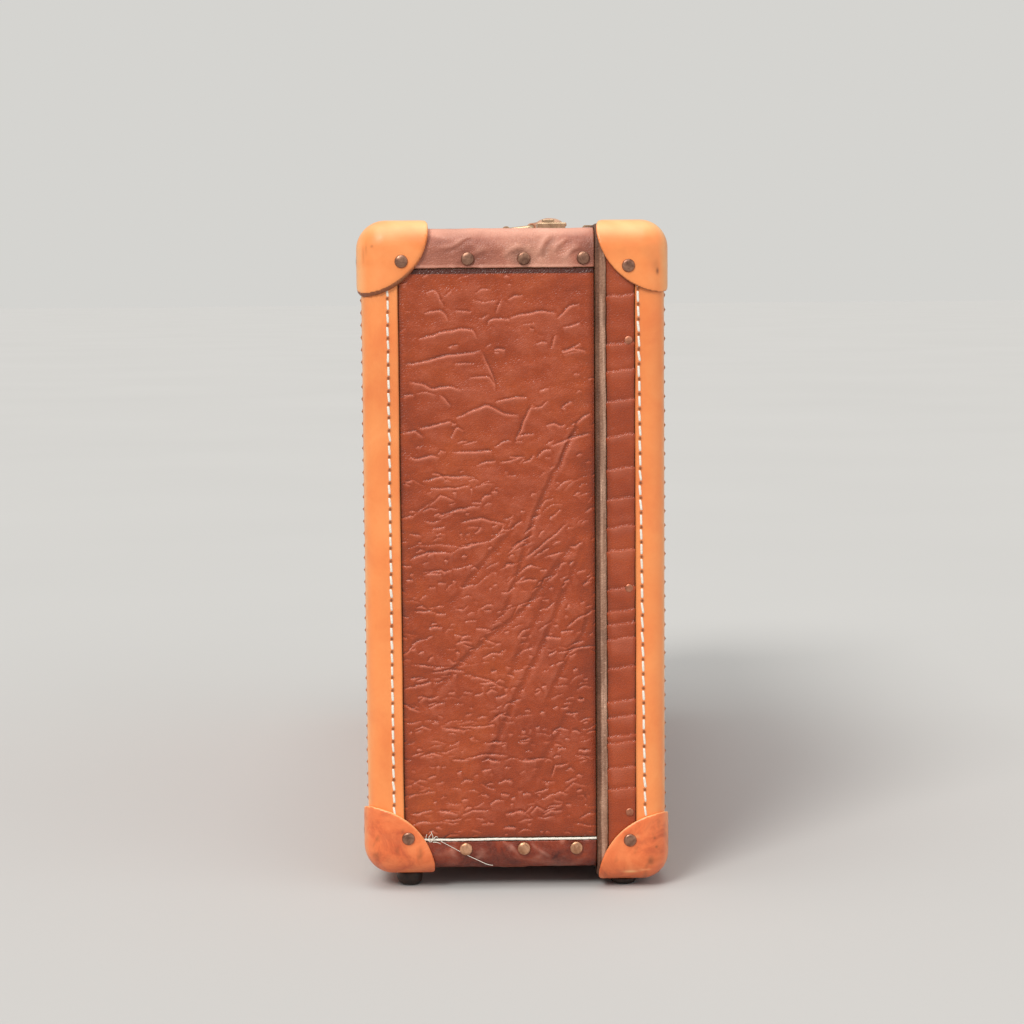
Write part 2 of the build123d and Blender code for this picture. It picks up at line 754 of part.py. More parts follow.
# Locks on the base's top wall. A bolt slides over the hasp's tongue, in front of its hook.
top_z = base_top_z + base_cover
bolt_x = lid_line_x - bolt_back
bolt_z = top_z + bolt_height
channel_floor_z = top_z + lock_plate
box_top_z = top_z + lock_box_height
bolt_tip = lock_channel_half + bolt_withdrawn
bolt_root = bolt_tip + bolt_length
stem_y = bolt_root - bolt_stem_inset
stem_slot_half = bolt_stem_radius + bolt_clearance
button_low_z = box_top_z + button_gap
for side, end in ENDS:
    centre_y = side * lock_reach
    with BuildPart() as lock_body:
        box_between(
            (lid_line_x - lock_plate_back, lid_line_x - lock_plate_front),
            (centre_y - lock_plate_width / 2, centre_y + lock_plate_width / 2),
            (top_z, channel_floor_z),
        )
        fillet(lock_body.edges().filter_by(Axis.Z), lock_corner)
        box_between(
            (lid_line_x - lock_box_back, lid_line_x - lock_box_front),
            (centre_y - lock_box_width / 2, centre_y + lock_box_width / 2),
            (top_z, box_top_z),
        )
        fillet(lock_body.faces().sort_by(Axis.Z)[-1].edges(), lock_box_rounding)
        box_between(
            (lid_line_x - lock_channel_back, lid_line_x - lock_box_front + beyond),
            (centre_y - lock_channel_half, centre_y + lock_channel_half),
            (channel_floor_z, box_top_z + beyond),
            mode=Mode.SUBTRACT,
        )
        bore_far = centre_y - side * bolt_keeper
        bore_near = centre_y + side * (lock_box_width / 2 - lock_box_rounding)
        with Locations((bolt_x, (bore_far + bore_near) / 2, bolt_z)):
            Cylinder(
                bolt_radius + bolt_clearance,
                abs(bore_near - bore_far),
                rotation=(90, 0, 0),
                mode=Mode.SUBTRACT,
            )
        box_between(
            (bolt_x - stem_slot_half, bolt_x + stem_slot_half),
            (
                centre_y + side * (stem_y - bolt_travel - stem_slot_half),
                centre_y + side * (stem_y + stem_slot_half),
            ),
            (bolt_z, box_top_z + beyond),
            mode=Mode.SUBTRACT,
        )
    finish(lock_body, f"lock_body_{end}")

    with BuildPart() as lock_bolt:
        with Locations((bolt_x, centre_y + side * (bolt_tip + bolt_root) / 2, bolt_z)):
            Cylinder(bolt_radius, bolt_length, rotation=(90, 0, 0))
        with Locations((bolt_x, centre_y + side * stem_y, (bolt_z + button_low_z) / 2)):
            Cylinder(bolt_stem_radius, button_low_z - bolt_z)
    finish(lock_bolt, f"lock_bolt_{end}")

    with BuildPart() as lock_button:
        box_between(
            (bolt_x - button_length / 2, bolt_x + button_length / 2),
            (
                centre_y + side * (stem_y - button_width / 2),
                centre_y + side * (stem_y + button_width / 2),
            ),
            (button_low_z, button_low_z + button_height),
        )
        fillet(lock_button.edges().filter_by(Axis.Z), button_corner)
        fillet(lock_button.faces().sort_by(Axis.Z)[-1].edges(), button_rounding)
    finish(lock_button, f"lock_button_{end}")

# Hasps on the lid's top wall: strap over the rim, tongue in the lock's channel, hook up
lid_skin_z = lid_top_z + lid_border
hasp_axis_x = lid_line_x + hasp_axis_front
hasp_axis_z = lid_skin_z + hasp_knuckle_radius
hasp_plate_high_x = lid_binding_x - hasp_plate_gap
hasp_bend_high_x = lid_line_x - hasp_bend_back
hasp_bend_low_x = hasp_bend_high_x - hasp_bend
hasp_hook_x = lid_line_x - hasp_hook_back
hasp_low_z = lid_top_z + lid_rim + hasp_over_rim
tongue_z = top_z + hasp_tongue_height
hasp_outer_knuckle = (hasp_plate_width - hasp_knuckle) / 2 - hasp_knuckle_gap
hasp_outer_centre = (hasp_plate_width - hasp_outer_knuckle) / 2
strap_profile = (
    (hasp_axis_x, hasp_low_z),
    (hasp_bend_high_x, hasp_low_z),
    (hasp_bend_low_x, tongue_z),
    (hasp_hook_x, tongue_z),
    (hasp_hook_x, top_z + hasp_hook_height),
    (hasp_hook_x + hasp_hook, top_z + hasp_hook_height),
    (hasp_hook_x + hasp_hook, tongue_z + hasp_strap),
    (hasp_bend_low_x - hasp_strap / 2, tongue_z + hasp_strap),
    (hasp_bend_high_x - hasp_strap / 2, hasp_low_z + hasp_strap),
    (hasp_axis_x, hasp_low_z + hasp_strap),
)
for side, end in ENDS:
    centre_y = side * lock_reach
    with BuildPart() as hasp:
        with BuildSketch(Plane.XZ.offset(-centre_y)):
            with BuildLine():
                Polyline(*strap_profile, close=True)
            make_face()
        extrude(amount=hasp_strap_width / 2, both=True)
        for hand in (-1, 1):
            wide = centre_y + hand * beyond
            box_between(
                (hasp_hook_x - beyond, lid_line_x - hasp_tongue_back),
                (centre_y + hand * hasp_tongue_width / 2, wide),
                (top_z - beyond, top_z + beyond),
                mode=Mode.SUBTRACT,
            )
            box_between(
                (lid_line_x + hasp_neck_front, hasp_axis_x + beyond),
                (centre_y + hand * hasp_knuckle / 2, wide),
                (top_z - beyond, top_z + beyond),
                mode=Mode.SUBTRACT,
            )
        with Locations((hasp_axis_x, centre_y, hasp_axis_z)):
            Cylinder(hasp_knuckle_radius, hasp_knuckle, rotation=(90, 0, 0))
            Cylinder(
                hasp_pin_radius + hasp_bore_clearance,
                hasp_plate_width,
                rotation=(90, 0, 0),
                mode=Mode.SUBTRACT,
            )
    finish(hasp, f"hasp_{end}")

    with BuildPart() as hasp_leaf:
        box_between(
            (hasp_axis_x, hasp_plate_high_x),
            (centre_y - hasp_plate_width / 2, centre_y + hasp_plate_width / 2),
            (lid_skin_z, lid_skin_z + hasp_plate),
        )
        fillet(hasp_leaf.edges().filter_by(Axis.Z).group_by(Axis.X)[-1], lock_corner)
        with Locations(
            (hasp_axis_x, centre_y - hasp_outer_centre, hasp_axis_z),
            (hasp_axis_x, centre_y + hasp_outer_centre, hasp_axis_z),
        ):
            Cylinder(hasp_knuckle_radius, hasp_outer_knuckle, rotation=(90, 0, 0))
        half = hasp_knuckle / 2 + hasp_knuckle_gap
        box_between(
            (hasp_axis_x - beyond, hasp_axis_x + hasp_knuckle_radius + hinge_swing_gap),
            (centre_y - half, centre_y + half),
            (lid_skin_z - beyond, lid_skin_z + beyond),
            mode=Mode.SUBTRACT,
        )
        with Locations((hasp_axis_x, centre_y, hasp_axis_z)):
            Cylinder(
                hasp_pin_radius + hasp_bore_clearance,
                hasp_plate_width + beyond,
                rotation=(90, 0, 0),
                mode=Mode.SUBTRACT,
            )
    finish(hasp_leaf, f"hasp_plate_{end}")

with BuildPart() as hasp_pins:
    with Locations(*((hasp_axis_x, centre_y, hasp_axis_z) for centre_y in lock_centres)):
        Cylinder(hasp_pin_radius, hasp_plate_width, rotation=(90, 0, 0))
finish(hasp_pins, "hasp_pins")

# Handle brackets: a plate, and a strap over the ring's bar
handle_x = lid_line_x - handle_back
handle_z = top_z + bracket + ring_clearance + ring_wire
strap_inner = ring_wire + ring_clearance
strap_outer = strap_inner + bracket_strap
with BuildPart() as handle_brackets:
    for side, end in ENDS:
        centre_y = side * handle_spacing / 2
        with BuildSketch(Plane.XY.offset(top_z)):
            with Locations((handle_x, centre_y)):
                RectangleRounded(bracket_length, bracket_width, bracket_corner)
        extrude(amount=bracket)
        with BuildSketch(Plane.XZ.offset(-centre_y)):
            with Locations((handle_x, handle_z)):
                Circle(strap_outer)
                Rectangle(2 * strap_outer, handle_z - top_z, align=(Align.CENTER, Align.MAX))
                Circle(strap_inner, mode=Mode.SUBTRACT)
                Rectangle(
                    2 * strap_inner,
                    handle_z - top_z - bracket,
                    align=(Align.CENTER, Align.MAX),
                    mode=Mode.SUBTRACT,
                )
            with Locations((handle_x, top_z)):
                Rectangle(
                    2 * strap_inner, bracket, align=(Align.CENTER, Align.MIN), mode=Mode.SUBTRACT
                )
        extrude(amount=bracket_strap_width / 2, both=True)
finish(handle_brackets, "handle_brackets")

# Handle: built flat about its pivot axis, then tilted up and set in the brackets
handle_place = Location((handle_x, 0, handle_z), (0, -handle_tilt, 0))
with BuildPart() as flat_ring:
    with BuildLine(Plane.XY) as ring_path:
        FilletPolyline(
            (0, -ring_half_width),
            (ring_reach, -ring_half_width),
            (ring_reach, ring_half_width),
            (0, ring_half_width),
            radius=ring_corner,
            close=True,
        )
    with BuildSketch(Plane(origin=ring_path.line @ 0, z_dir=ring_path.line % 0)):
        Circle(ring_wire)
    sweep()
with BuildPart() as handle_rings:
    for side, end in ENDS:
        add(flat_ring.part.moved(handle_place * Location((0, side * handle_spacing / 2, 0))))
finish(handle_rings, "handle_rings")

bend_y = handle_spacing / 2 - grip_bend
bend_x = grip_reach - grip_bend
grip_turn_angles = (0, 30, 60, 90)
grip_width_ratios = (0.52, 0.62, 0.76, 0.88)
grip_thickness_ratios = (0.55, 0.62, 0.74, 0.86)
grip_half_way_ratio = 0.97
half_sections = []
for turn, wide, thick in zip(grip_turn_angles, grip_width_ratios, grip_thickness_ratios):
    angle = radians(turn)
    half_sections.append(
        (bend_x + grip_bend * sin(angle), bend_y + grip_bend * cos(angle), turn, wide, thick)
    )
half_sections.append((grip_reach, bend_y / 2, 90, grip_half_way_ratio, grip_half_way_ratio))
sections = [(x, -y, turn, wide, thick) for x, y, turn, wide, thick in half_sections]
sections.append((grip_reach, 0, 90, 1.0, 1.0))
sections += [(x, y, 180 - turn, wide, thick) for x, y, turn, wide, thick in reversed(half_sections)]
with BuildPart() as flat_grip:
    for x, y, turn, wide, thick in sections:
        heading = (cos(radians(turn)), sin(radians(turn)), 0)
        across = (sin(radians(turn)), -cos(radians(turn)), 0)
        with BuildSketch(Plane(origin=(x, y, 0), x_dir=across, z_dir=heading)):
            Ellipse(wide * grip_width / 2, thick * grip_thickness / 2)
    loft()
    with Locations((ring_reach, -handle_spacing / 2, 0), (ring_reach, handle_spacing / 2, 0)):
        Cylinder(tab_radius, tab_width, rotation=(90, 0, 0))
    with BuildSketch(Plane.XY.offset(-welt_half_thickness)):
        with Locations((grip_reach, 0)):
            Rectangle(grip_width / 2 + welt_reach, 2 * bend_y, align=(Align.MIN, Align.CENTER))
    extrude(amount=2 * welt_half_thickness)
    with Locations((ring_reach, -handle_spacing / 2, 0), (ring_reach, handle_spacing / 2, 0)):
        Cylinder(
            ring_wire + tab_bore_clearance,
            2 * ring_half_width,
            rotation=(90, 0, 0),
            mode=Mode.SUBTRACT,
        )
with BuildPart() as handle_grip:
    add(flat_grip.part.moved(handle_place))
finish(handle_grip, "handle_grip")

# Rivets of the fittings
base_fitting_seats = []
lid_fitting_seats = []
base_rivet_x = base_leaf_x + fitting_rivet_inset
lid_rivet_x = lid_leaf_x - fitting_rivet_inset
lock_rivet_x = lid_line_x - (lock_plate_back + lock_box_back) / 2
hasp_rivet_x = hasp_plate_high_x - fitting_rivet_inset
for side, end in ENDS:
    for row in (-1, 0, 1):
        rivet_y = side * hinge_reach + row * hinge_rivet_spacing
        base_fitting_seats.append(
            seat(base_rivet_x, rivet_y, hinge_top_z - hinge_leaf, (0, 0, -1))
        )
        lid_fitting_seats.append(seat(lid_rivet_x, rivet_y, hinge_bottom_z, (0, 0, -1)))
    for hand in (-1, 1):
        rivet_y = side * lock_reach + hand * lock_rivet_half_spacing
        base_fitting_seats.append(seat(lock_rivet_x, rivet_y, channel_floor_z, (0, 0, 1)))
        rivet_y = side * lock_reach + hand * hasp_rivet_half_spacing
        lid_fitting_seats.append(seat(hasp_rivet_x, rivet_y, lid_skin_z + hasp_plate, (0, 0, 1)))
        rivet_x = handle_x + hand * bracket_rivet_reach
        bracket_y = side * handle_spacing / 2
        base_fitting_seats.append(seat(rivet_x, bracket_y, top_z + bracket, (0, 0, 1)))
finish(heads(fitting_rivet_radius, fitting_rivet_height, base_fitting_seats), "base_fitting_rivets")
finish(heads(fitting_rivet_radius, fitting_rivet_height, lid_fitting_seats), "lid_fitting_rivets")
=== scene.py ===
import json
from math import cos, hypot, pi, radians, sin

import bmesh
import bpy
import numpy as np
from mathutils import Matrix, Vector


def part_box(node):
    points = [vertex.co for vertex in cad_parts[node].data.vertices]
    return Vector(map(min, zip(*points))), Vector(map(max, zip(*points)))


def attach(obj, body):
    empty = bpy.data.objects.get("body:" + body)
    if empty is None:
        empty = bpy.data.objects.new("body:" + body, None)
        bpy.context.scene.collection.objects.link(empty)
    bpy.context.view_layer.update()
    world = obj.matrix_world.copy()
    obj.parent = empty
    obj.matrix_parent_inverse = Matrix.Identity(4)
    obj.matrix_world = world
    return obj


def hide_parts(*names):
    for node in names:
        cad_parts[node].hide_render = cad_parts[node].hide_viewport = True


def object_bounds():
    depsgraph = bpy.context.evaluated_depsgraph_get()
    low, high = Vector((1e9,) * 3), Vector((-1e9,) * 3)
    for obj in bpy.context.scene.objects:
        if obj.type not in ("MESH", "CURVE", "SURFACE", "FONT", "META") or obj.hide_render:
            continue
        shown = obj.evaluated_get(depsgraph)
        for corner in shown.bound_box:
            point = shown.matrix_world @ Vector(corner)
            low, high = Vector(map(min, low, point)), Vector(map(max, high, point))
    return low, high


# A leather suitcase standing on its hinge side. Metres, in the frame of the CAD model:
# X runs through the thickness with the lid at +X, Y along the length, Z up.

MM = 0.001
ENDS = ((-1, "left"), (1, "right"))

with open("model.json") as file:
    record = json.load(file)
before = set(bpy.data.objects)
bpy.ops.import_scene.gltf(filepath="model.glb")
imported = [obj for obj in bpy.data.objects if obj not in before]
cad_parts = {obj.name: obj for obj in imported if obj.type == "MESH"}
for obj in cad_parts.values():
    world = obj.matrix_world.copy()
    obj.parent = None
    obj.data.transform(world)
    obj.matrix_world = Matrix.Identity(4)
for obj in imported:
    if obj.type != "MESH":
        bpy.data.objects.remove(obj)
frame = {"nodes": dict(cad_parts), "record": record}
cad_low, cad_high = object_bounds()
parts = frame["nodes"]

# Camera of the photograph
camera_place = Vector((-0.0241, -1.702, 0.375))
camera_yaw = radians(0.93)
camera_pitch = radians(-5.66)
camera_roll = radians(-0.46)
camera_sensor = 0.036
camera_focal_pixels = 2306.0
photo_size = 1024.0

camera_aim = Vector(
    (sin(camera_yaw) * cos(camera_pitch), cos(camera_yaw) * cos(camera_pitch), sin(camera_pitch))
)
level_right = Vector((cos(camera_yaw), -sin(camera_yaw), 0))
level_up = level_right.cross(camera_aim)
camera_right = level_right * cos(camera_roll) + level_up * sin(camera_roll)
camera_up = level_up * cos(camera_roll) - level_right * sin(camera_roll)


def make_camera():
    """Camera at the photograph's place."""
    data = bpy.data.cameras.new("camera")
    data.sensor_width = camera_sensor / MM
    data.lens = camera_focal_pixels / photo_size * camera_sensor / MM
    camera = bpy.data.objects.new("camera", data)
    turn = Matrix((camera_right, camera_up, -camera_aim)).transposed().to_4x4()
    camera.matrix_world = Matrix.Translation(camera_place) @ turn
    bpy.context.scene.collection.objects.link(camera)
    bpy.context.scene.camera = camera


def photo_to_end(pixel_x, pixel_y, end_y):
    """X and Z where the ray through a pixel of the photograph meets the plane y = end_y."""
    across = (pixel_x - photo_size / 2) / camera_focal_pixels
    down = (pixel_y - photo_size / 2) / camera_focal_pixels
    ray = camera_aim + camera_right * across - camera_up * down
    point = camera_place + ray * ((end_y - camera_place.y) / ray.y)
    return point.x, point.z


# Sizes that the frame gives
base_low, base_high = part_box("base_shell")
lid_low, lid_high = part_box("lid_shell")
base_binding_low, base_binding_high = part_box("base_binding")
lid_binding_low, lid_binding_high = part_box("lid_binding")
rim_low, rim_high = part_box("lid_rim")
border_low, border_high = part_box("lid_border")

# Radii of the trays' corners and edges, and the bindings' widths on the big faces
base_wall_radius = 12 * MM
base_edge_radius = 11 * MM
lid_wall_radius = 14 * MM
lid_edge_radius = 10 * MM
base_binding_face = 24 * MM
lid_binding_face = 20 * MM
opening_radius = 6 * MM
seat_gap = 0.05 * MM  # between a leather's underside and its board

base_binding_leather = base_low.x - base_binding_low.x
lid_binding_leather = lid_binding_high.x - lid_high.x
rim_leather = rim_high.z - lid_high.z
border_leather = border_high.z - lid_high.z
lid_board = 1.9 * MM

# Rows of saddle stitches
stitch_row = {"base": (-75.7 * MM, -75.7 * MM), "lid": (75.4 * MM, 79.9 * MM)}  # X at top and bottom
stitch_pitch = {"base": 8.0 * MM, "lid": 9.06 * MM}
face_stitch_inset = 6.0 * MM  # from the binding's inner edge on a big face
stitch_fill = 0.86  # of the pitch
stitch_thick = 0.64 * MM
stitch_flat = 0.62
stitch_slant = radians(4)
wall_stitch_stand = 0.30 * MM
face_stitch_stand = -0.08 * MM  # sunk almost flush with the leather on the big faces

shoulder = 0.5 * MM  # how far leather on the flat walls swells inside its edges
panel_tuck = 1.3 * MM  # the end leather runs on to the upper band


def fade(value):
    """Smooth step from 0 to 1."""
    value = np.clip(value, 0, 1)
    return value * value * (3 - 2 * value)


def soft_noise(u, v, seed):
    """Gradient noise of about -1 to 1 with bumps of about one unit."""
    size = 256
    angles = np.random.default_rng(seed).uniform(0, 2 * pi, (size, size))
    cell_u = np.floor(u).astype(int)
    cell_v = np.floor(v).astype(int)
    total = np.zeros(np.broadcast(u, v).shape)
    for step_u in (0, 1):
        for step_v in (0, 1):
            angle = angles[(cell_u + step_u) % size, (cell_v + step_v) % size]
            from_u = u - cell_u - step_u
            from_v = v - cell_v - step_v
            weight = fade(1 - abs(from_u)) * fade(1 - abs(from_v))
            total = total + weight * (np.cos(angle) * from_u + np.sin(angle) * from_v)
    return 1.6 * total


def layered_noise(u, v, seed):
    """Noise with two finer and weaker layers on top."""
    total = 0
    for layer in range(3):
        scale = 2.0**layer
        total = total + soft_noise(u * scale + 7.3 * layer, v * scale, seed + layer) / scale
    return total


def bell(distance, reach):
    """1 at no distance, fading to nothing in about two reaches."""
    return np.exp(-((distance / reach) ** 2))


def rotated(first, second, angle):
    """The two parts of a flat vector turned anticlockwise."""
    return first * cos(angle) - second * sin(angle), first * sin(angle) + second * cos(angle)


def rounded_path(points, radii, weights, steps, arc_step=radians(9)):
    """Even samples along a closed flat path with rounded corners: places, outward normals, weights.

    steps holds the spacing of each straight run. The results are rows that broadcast against a
    column of places round a ring."""
    points = [np.array(point, float) for point in points]
    count = len(points)
    corners = []
    for i, point in enumerate(points):
        before, after = points[i - 1] - point, points[(i + 1) % count] - point
        before, after = before / hypot(*before), after / hypot(*after)
        turn = np.arctan2(-before[0] * after[1] + before[1] * after[0], -before @ after)
        corners.append((before, turn, radii[i] * abs(np.tan(turn / 2))))
    places, lifts = [], []
    for i, point in enumerate(points):
        before, turn, reach = corners[i]
        if radii[i] == 0:
            places.append(point)
            lifts.append(weights[i])
        else:
            arm = -np.array((before[1], -before[0])) * np.sign(turn) * radii[i]
            centre = point + before * reach - arm
            arcs = max(2, int(abs(turn) / arc_step) + 1)
            for angle in np.linspace(0, turn, arcs + 1):
                places.append(centre + np.array(rotated(*arm, angle)))
                lifts.append(weights[i])
        following = (i + 1) % count
        run = points[following] - point
        direction = run / hypot(*run)
        straight = hypot(*run) - reach - corners[following][2]
        extra = int(straight / steps[i])
        for k in range(1, extra + 1):
            share = k / (extra + 1)
            places.append(point + direction * (reach + straight * share))
            lifts.append(weights[i] * (1 - share) + weights[following] * share)
    places = np.array(places)
    tangent = np.roll(places, -1, axis=0) - np.roll(places, 1, axis=0)
    tangent /= np.linalg.norm(tangent, axis=1)[:, None]
    normals = np.stack((tangent[:, 1], -tangent[:, 0]), axis=1)
    normals *= np.sign(normals[np.argmax(places[:, 1]), 1])
    return places.T[:, None, :], normals.T[:, None, :], np.array(lifts)[None, :]


class Ring:
    """A rounded rectangle round the case in the YZ plane, sampled alike at every offset."""

    def __init__(self, low, high, radius, step, least_radius):
        self.half_y, self.half_z = (high.y - low.y) / 2, (high.z - low.z) / 2
        self.middle_z = (high.z + low.z) / 2
        self.radius, self.least_radius = radius, least_radius
        inner = (self.half_y - radius, self.half_z - radius)
        loop = ((-1, -1), (1, -1), (1, 1), (-1, 1))
        rows = []
        for i, start in enumerate(loop):
            end = loop[(i + 1) % 4]
            length = abs(end[0] - start[0]) * inner[0] + abs(end[1] - start[1]) * inner[1]
            count = max(2, round(length / step))
            angle = radians(90 * (i - 1))
            for share in np.arange(count) / count:
                place = [a + (b - a) * share for a, b in zip(start, end)]
                rows.append((*place, cos(angle), sin(angle)))
            count = max(3, round(radius * pi / 2 / step))
            for turn in angle + np.arange(count) / count * pi / 2:
                rows.append((*end, cos(turn), sin(turn)))
        self.share_y, self.share_z, self.normal_y, self.normal_z = np.array(rows).T
        flat = self.at(np.zeros(1), np.zeros(1))[:, 0, :]
        self.y, self.z = flat[:, 1], flat[:, 2]
        gaps = np.linalg.norm(np.roll(flat, -1, axis=0) - flat, axis=1)
        self.length = gaps.sum()
        self.along = np.concatenate(((0,), np.cumsum(gaps)[:-1]))

    def at(self, x, grow):
        """Points at these depths and offsets, one row per place round the ring."""
        x, grow = np.atleast_2d(x), np.atleast_2d(grow)
        radius = np.maximum(self.radius + grow, self.least_radius)
        share_y, share_z = self.share_y[:, None], self.share_z[:, None]
        y = share_y * (self.half_y + grow - radius) + radius * self.normal_y[:, None]
        z = share_z * (self.half_z + grow - radius) + radius * self.normal_z[:, None]
        x, y, z = np.broadcast_arrays(x, y, z + self.middle_z)
        return np.stack((x, y, z), axis=2)


def grid_faces(count_u, count_v, wrap_u, wrap_v):
    """Quads over a grid of points."""
    index = np.arange(count_u * count_v).reshape(count_u, count_v)
    if wrap_u:
        index = np.vstack((index, index[:1]))
    if wrap_v:
        index = np.hstack((index, index[:, :1]))
    quads = np.stack((index[:-1, :-1], index[1:, :-1], index[1:, 1:], index[:-1, 1:]), axis=2)
    return quads.reshape(-1, 4).tolist()


def paint(mesh, name, values):
    """Writes a number at each vertex for the materials to read."""
    layer = mesh.attributes.new(name, "FLOAT", "POINT")
    layer.data.foreach_set("value", np.broadcast_to(values, (len(mesh.vertices),)).astype(float))


def make_piece(name, points, faces, body, slot_name, replaced=(), tone=None, low=None):
    """A closed smooth mesh that rides on a CAD body. Open borders are filled."""
    mesh = bpy.data.meshes.new(name)
    mesh.from_pydata(points.reshape(-1, 3).tolist(), [], faces)
    shape = bmesh.new()
    shape.from_mesh(mesh)
    border = [edge for edge in shape.edges if edge.is_boundary]
    if border:
        bmesh.ops.holes_fill(shape, edges=border, sides=0)
    bmesh.ops.recalc_face_normals(shape, faces=shape.faces)
    for face in shape.faces:
        face.smooth = len(face.verts) <= 4
    shape.to_mesh(mesh)
    shape.free()
    if tone is not None:
        paint(mesh, "tone", np.asarray(tone, float).reshape(-1))
    if low is not None:
        paint(mesh, "low", low)
    piece = bpy.data.objects.new(name, mesh)
    bpy.context.scene.collection.objects.link(piece)
    mesh.materials.append(finishes[slot_name])
    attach(piece, body)
    if replaced:
        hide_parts(*replaced)


def make_skin(name, points, wraps, body, slot_name, replaced=(), tone=None, low=None):
    """A piece over a grid of points. wraps says along which axes the grid closes on itself."""
    faces = grid_faces(*points.shape[:2], *wraps)
    make_piece(name, points, faces, body, slot_name, replaced, tone, low)


finishes = {}


class Finish:
    """A node material on the Principled shader, built a node at a time."""

    def __init__(self, name, roughness=0.5, metallic=0.0, **sockets):
        self.name = name
        self.material = bpy.data.materials.new(name)
        self.material.use_nodes = True
        self.tree = self.material.node_tree
        self.shader = self.tree.nodes["Principled BSDF"]
        self.shader.inputs["Roughness"].default_value = roughness
        self.shader.inputs["Metallic"].default_value = metallic
        for socket, value in sockets.items():
            self.shader.inputs[socket.replace("_", " ")].default_value = value
        self.place = self.tree.nodes.new("ShaderNodeTexCoord").outputs["Object"]

    def put(self, value, socket):
        """Links a socket, or sets its value."""
        if isinstance(value, bpy.types.NodeSocket):
            self.tree.links.new(value, socket)
        elif socket.type == "RGBA" and not hasattr(value, "__len__"):
            socket.default_value = (value, value, value, 1)
        elif socket.type == "RGBA":
            socket.default_value = (*value[:3], 1)
        else:
            socket.default_value = value

    def stretched(self, *scale, turn=(0, 0, 0)):
        """Coordinates of the object, scaled and turned."""
        node = self.tree.nodes.new("ShaderNodeMapping")
        self.put(self.place, node.inputs["Vector"])
        node.inputs["Scale"].default_value = scale
        node.inputs["Rotation"].default_value = turn
        return node.outputs["Vector"]

    def texture(self, kind, place, **settings):
        """A texture node with its sockets set."""
        node = self.tree.nodes.new(kind)
        self.put(place or self.place, node.inputs["Vector"])
        for socket, value in settings.items():
            node.inputs[socket].default_value = value
        return node

    def noise(self, scale, detail=3.0, rough=0.5, bend=0.0, place=None):
        sockets = {"Scale": scale, "Detail": detail, "Roughness": rough, "Distortion": bend}
        return self.texture("ShaderNodeTexNoise", place, **sockets).outputs["Fac"]

    def cells(self, scale):
        """Distance to the edge of the nearest cell."""
        node = self.texture("ShaderNodeTexVoronoi", None, Scale=scale)
        node.feature = "DISTANCE_TO_EDGE"
        return node.outputs["Distance"]

    def wave(self, scale, direction, bend):
        node = self.texture("ShaderNodeTexWave", None, Scale=scale, Distortion=bend)
        node.bands_direction = direction
        return node.outputs["Fac"]

    def ramp(self, value, *stops):
        """Colours at places along a value."""
        node = self.tree.nodes.new("ShaderNodeValToRGB")
        self.put(value, node.inputs["Fac"])
        elements = node.color_ramp.elements
        while len(elements) < len(stops):
            elements.new(0.5)
        for element, (position, colour) in zip(elements, stops):
            element.position = position
            if not hasattr(colour, "__len__"):
                colour = (colour, colour, colour)
            element.color = (*colour, 1)
        return node.outputs["Color"]

    def blend(self, share, first, second):
        node = self.tree.nodes.new("ShaderNodeMix")
        node.data_type = "RGBA"
        for place, value in (("Factor", share), (6, first), (7, second)):
            self.put(value, node.inputs[place])
        return node.outputs[2]

    def combine(self, way, first, second, limit=False):
        """Two numbers through a Math node, held between 0 and 1 where limit is set."""
        node = self.tree.nodes.new("ShaderNodeMath")
        node.operation = way
        node.use_clamp = limit
        self.put(first, node.inputs[0])
        self.put(second, node.inputs[1])
        return node.outputs[0]

    def attribute(self, name):
        node = self.tree.nodes.new("ShaderNodeAttribute")
        node.attribute_name = name
        return node.outputs["Fac"]

    def bump(self, height, distance, strength=1.0, over=None):
        node = self.tree.nodes.new("ShaderNodeBump")
        self.put(height, node.inputs["Height"])
        node.inputs["Distance"].default_value = distance
        node.inputs["Strength"].default_value = strength
        if over:
            self.put(over, node.inputs["Normal"])
        return node.outputs["Normal"]

    def done(self, colour, roughness=None, normal=None):
        """Links the shader, and files the material under its name."""
        self.put(colour, self.shader.inputs["Base Color"])
        if roughness is not None:
            self.put(roughness, self.shader.inputs["Roughness"])
        if normal is not None:
            self.put(normal, self.shader.inputs["Normal"])
        finishes[self.name] = self.material
        return self.material


def linear(red, green, blue):
    """Linear colour of an 8-bit screen colour."""
    return tuple(
        c / 12.92 if c <= 0.04045 else ((c + 0.055) / 1.055) ** 2.4
        for c in (red / 255, green / 255, blue / 255)
    )


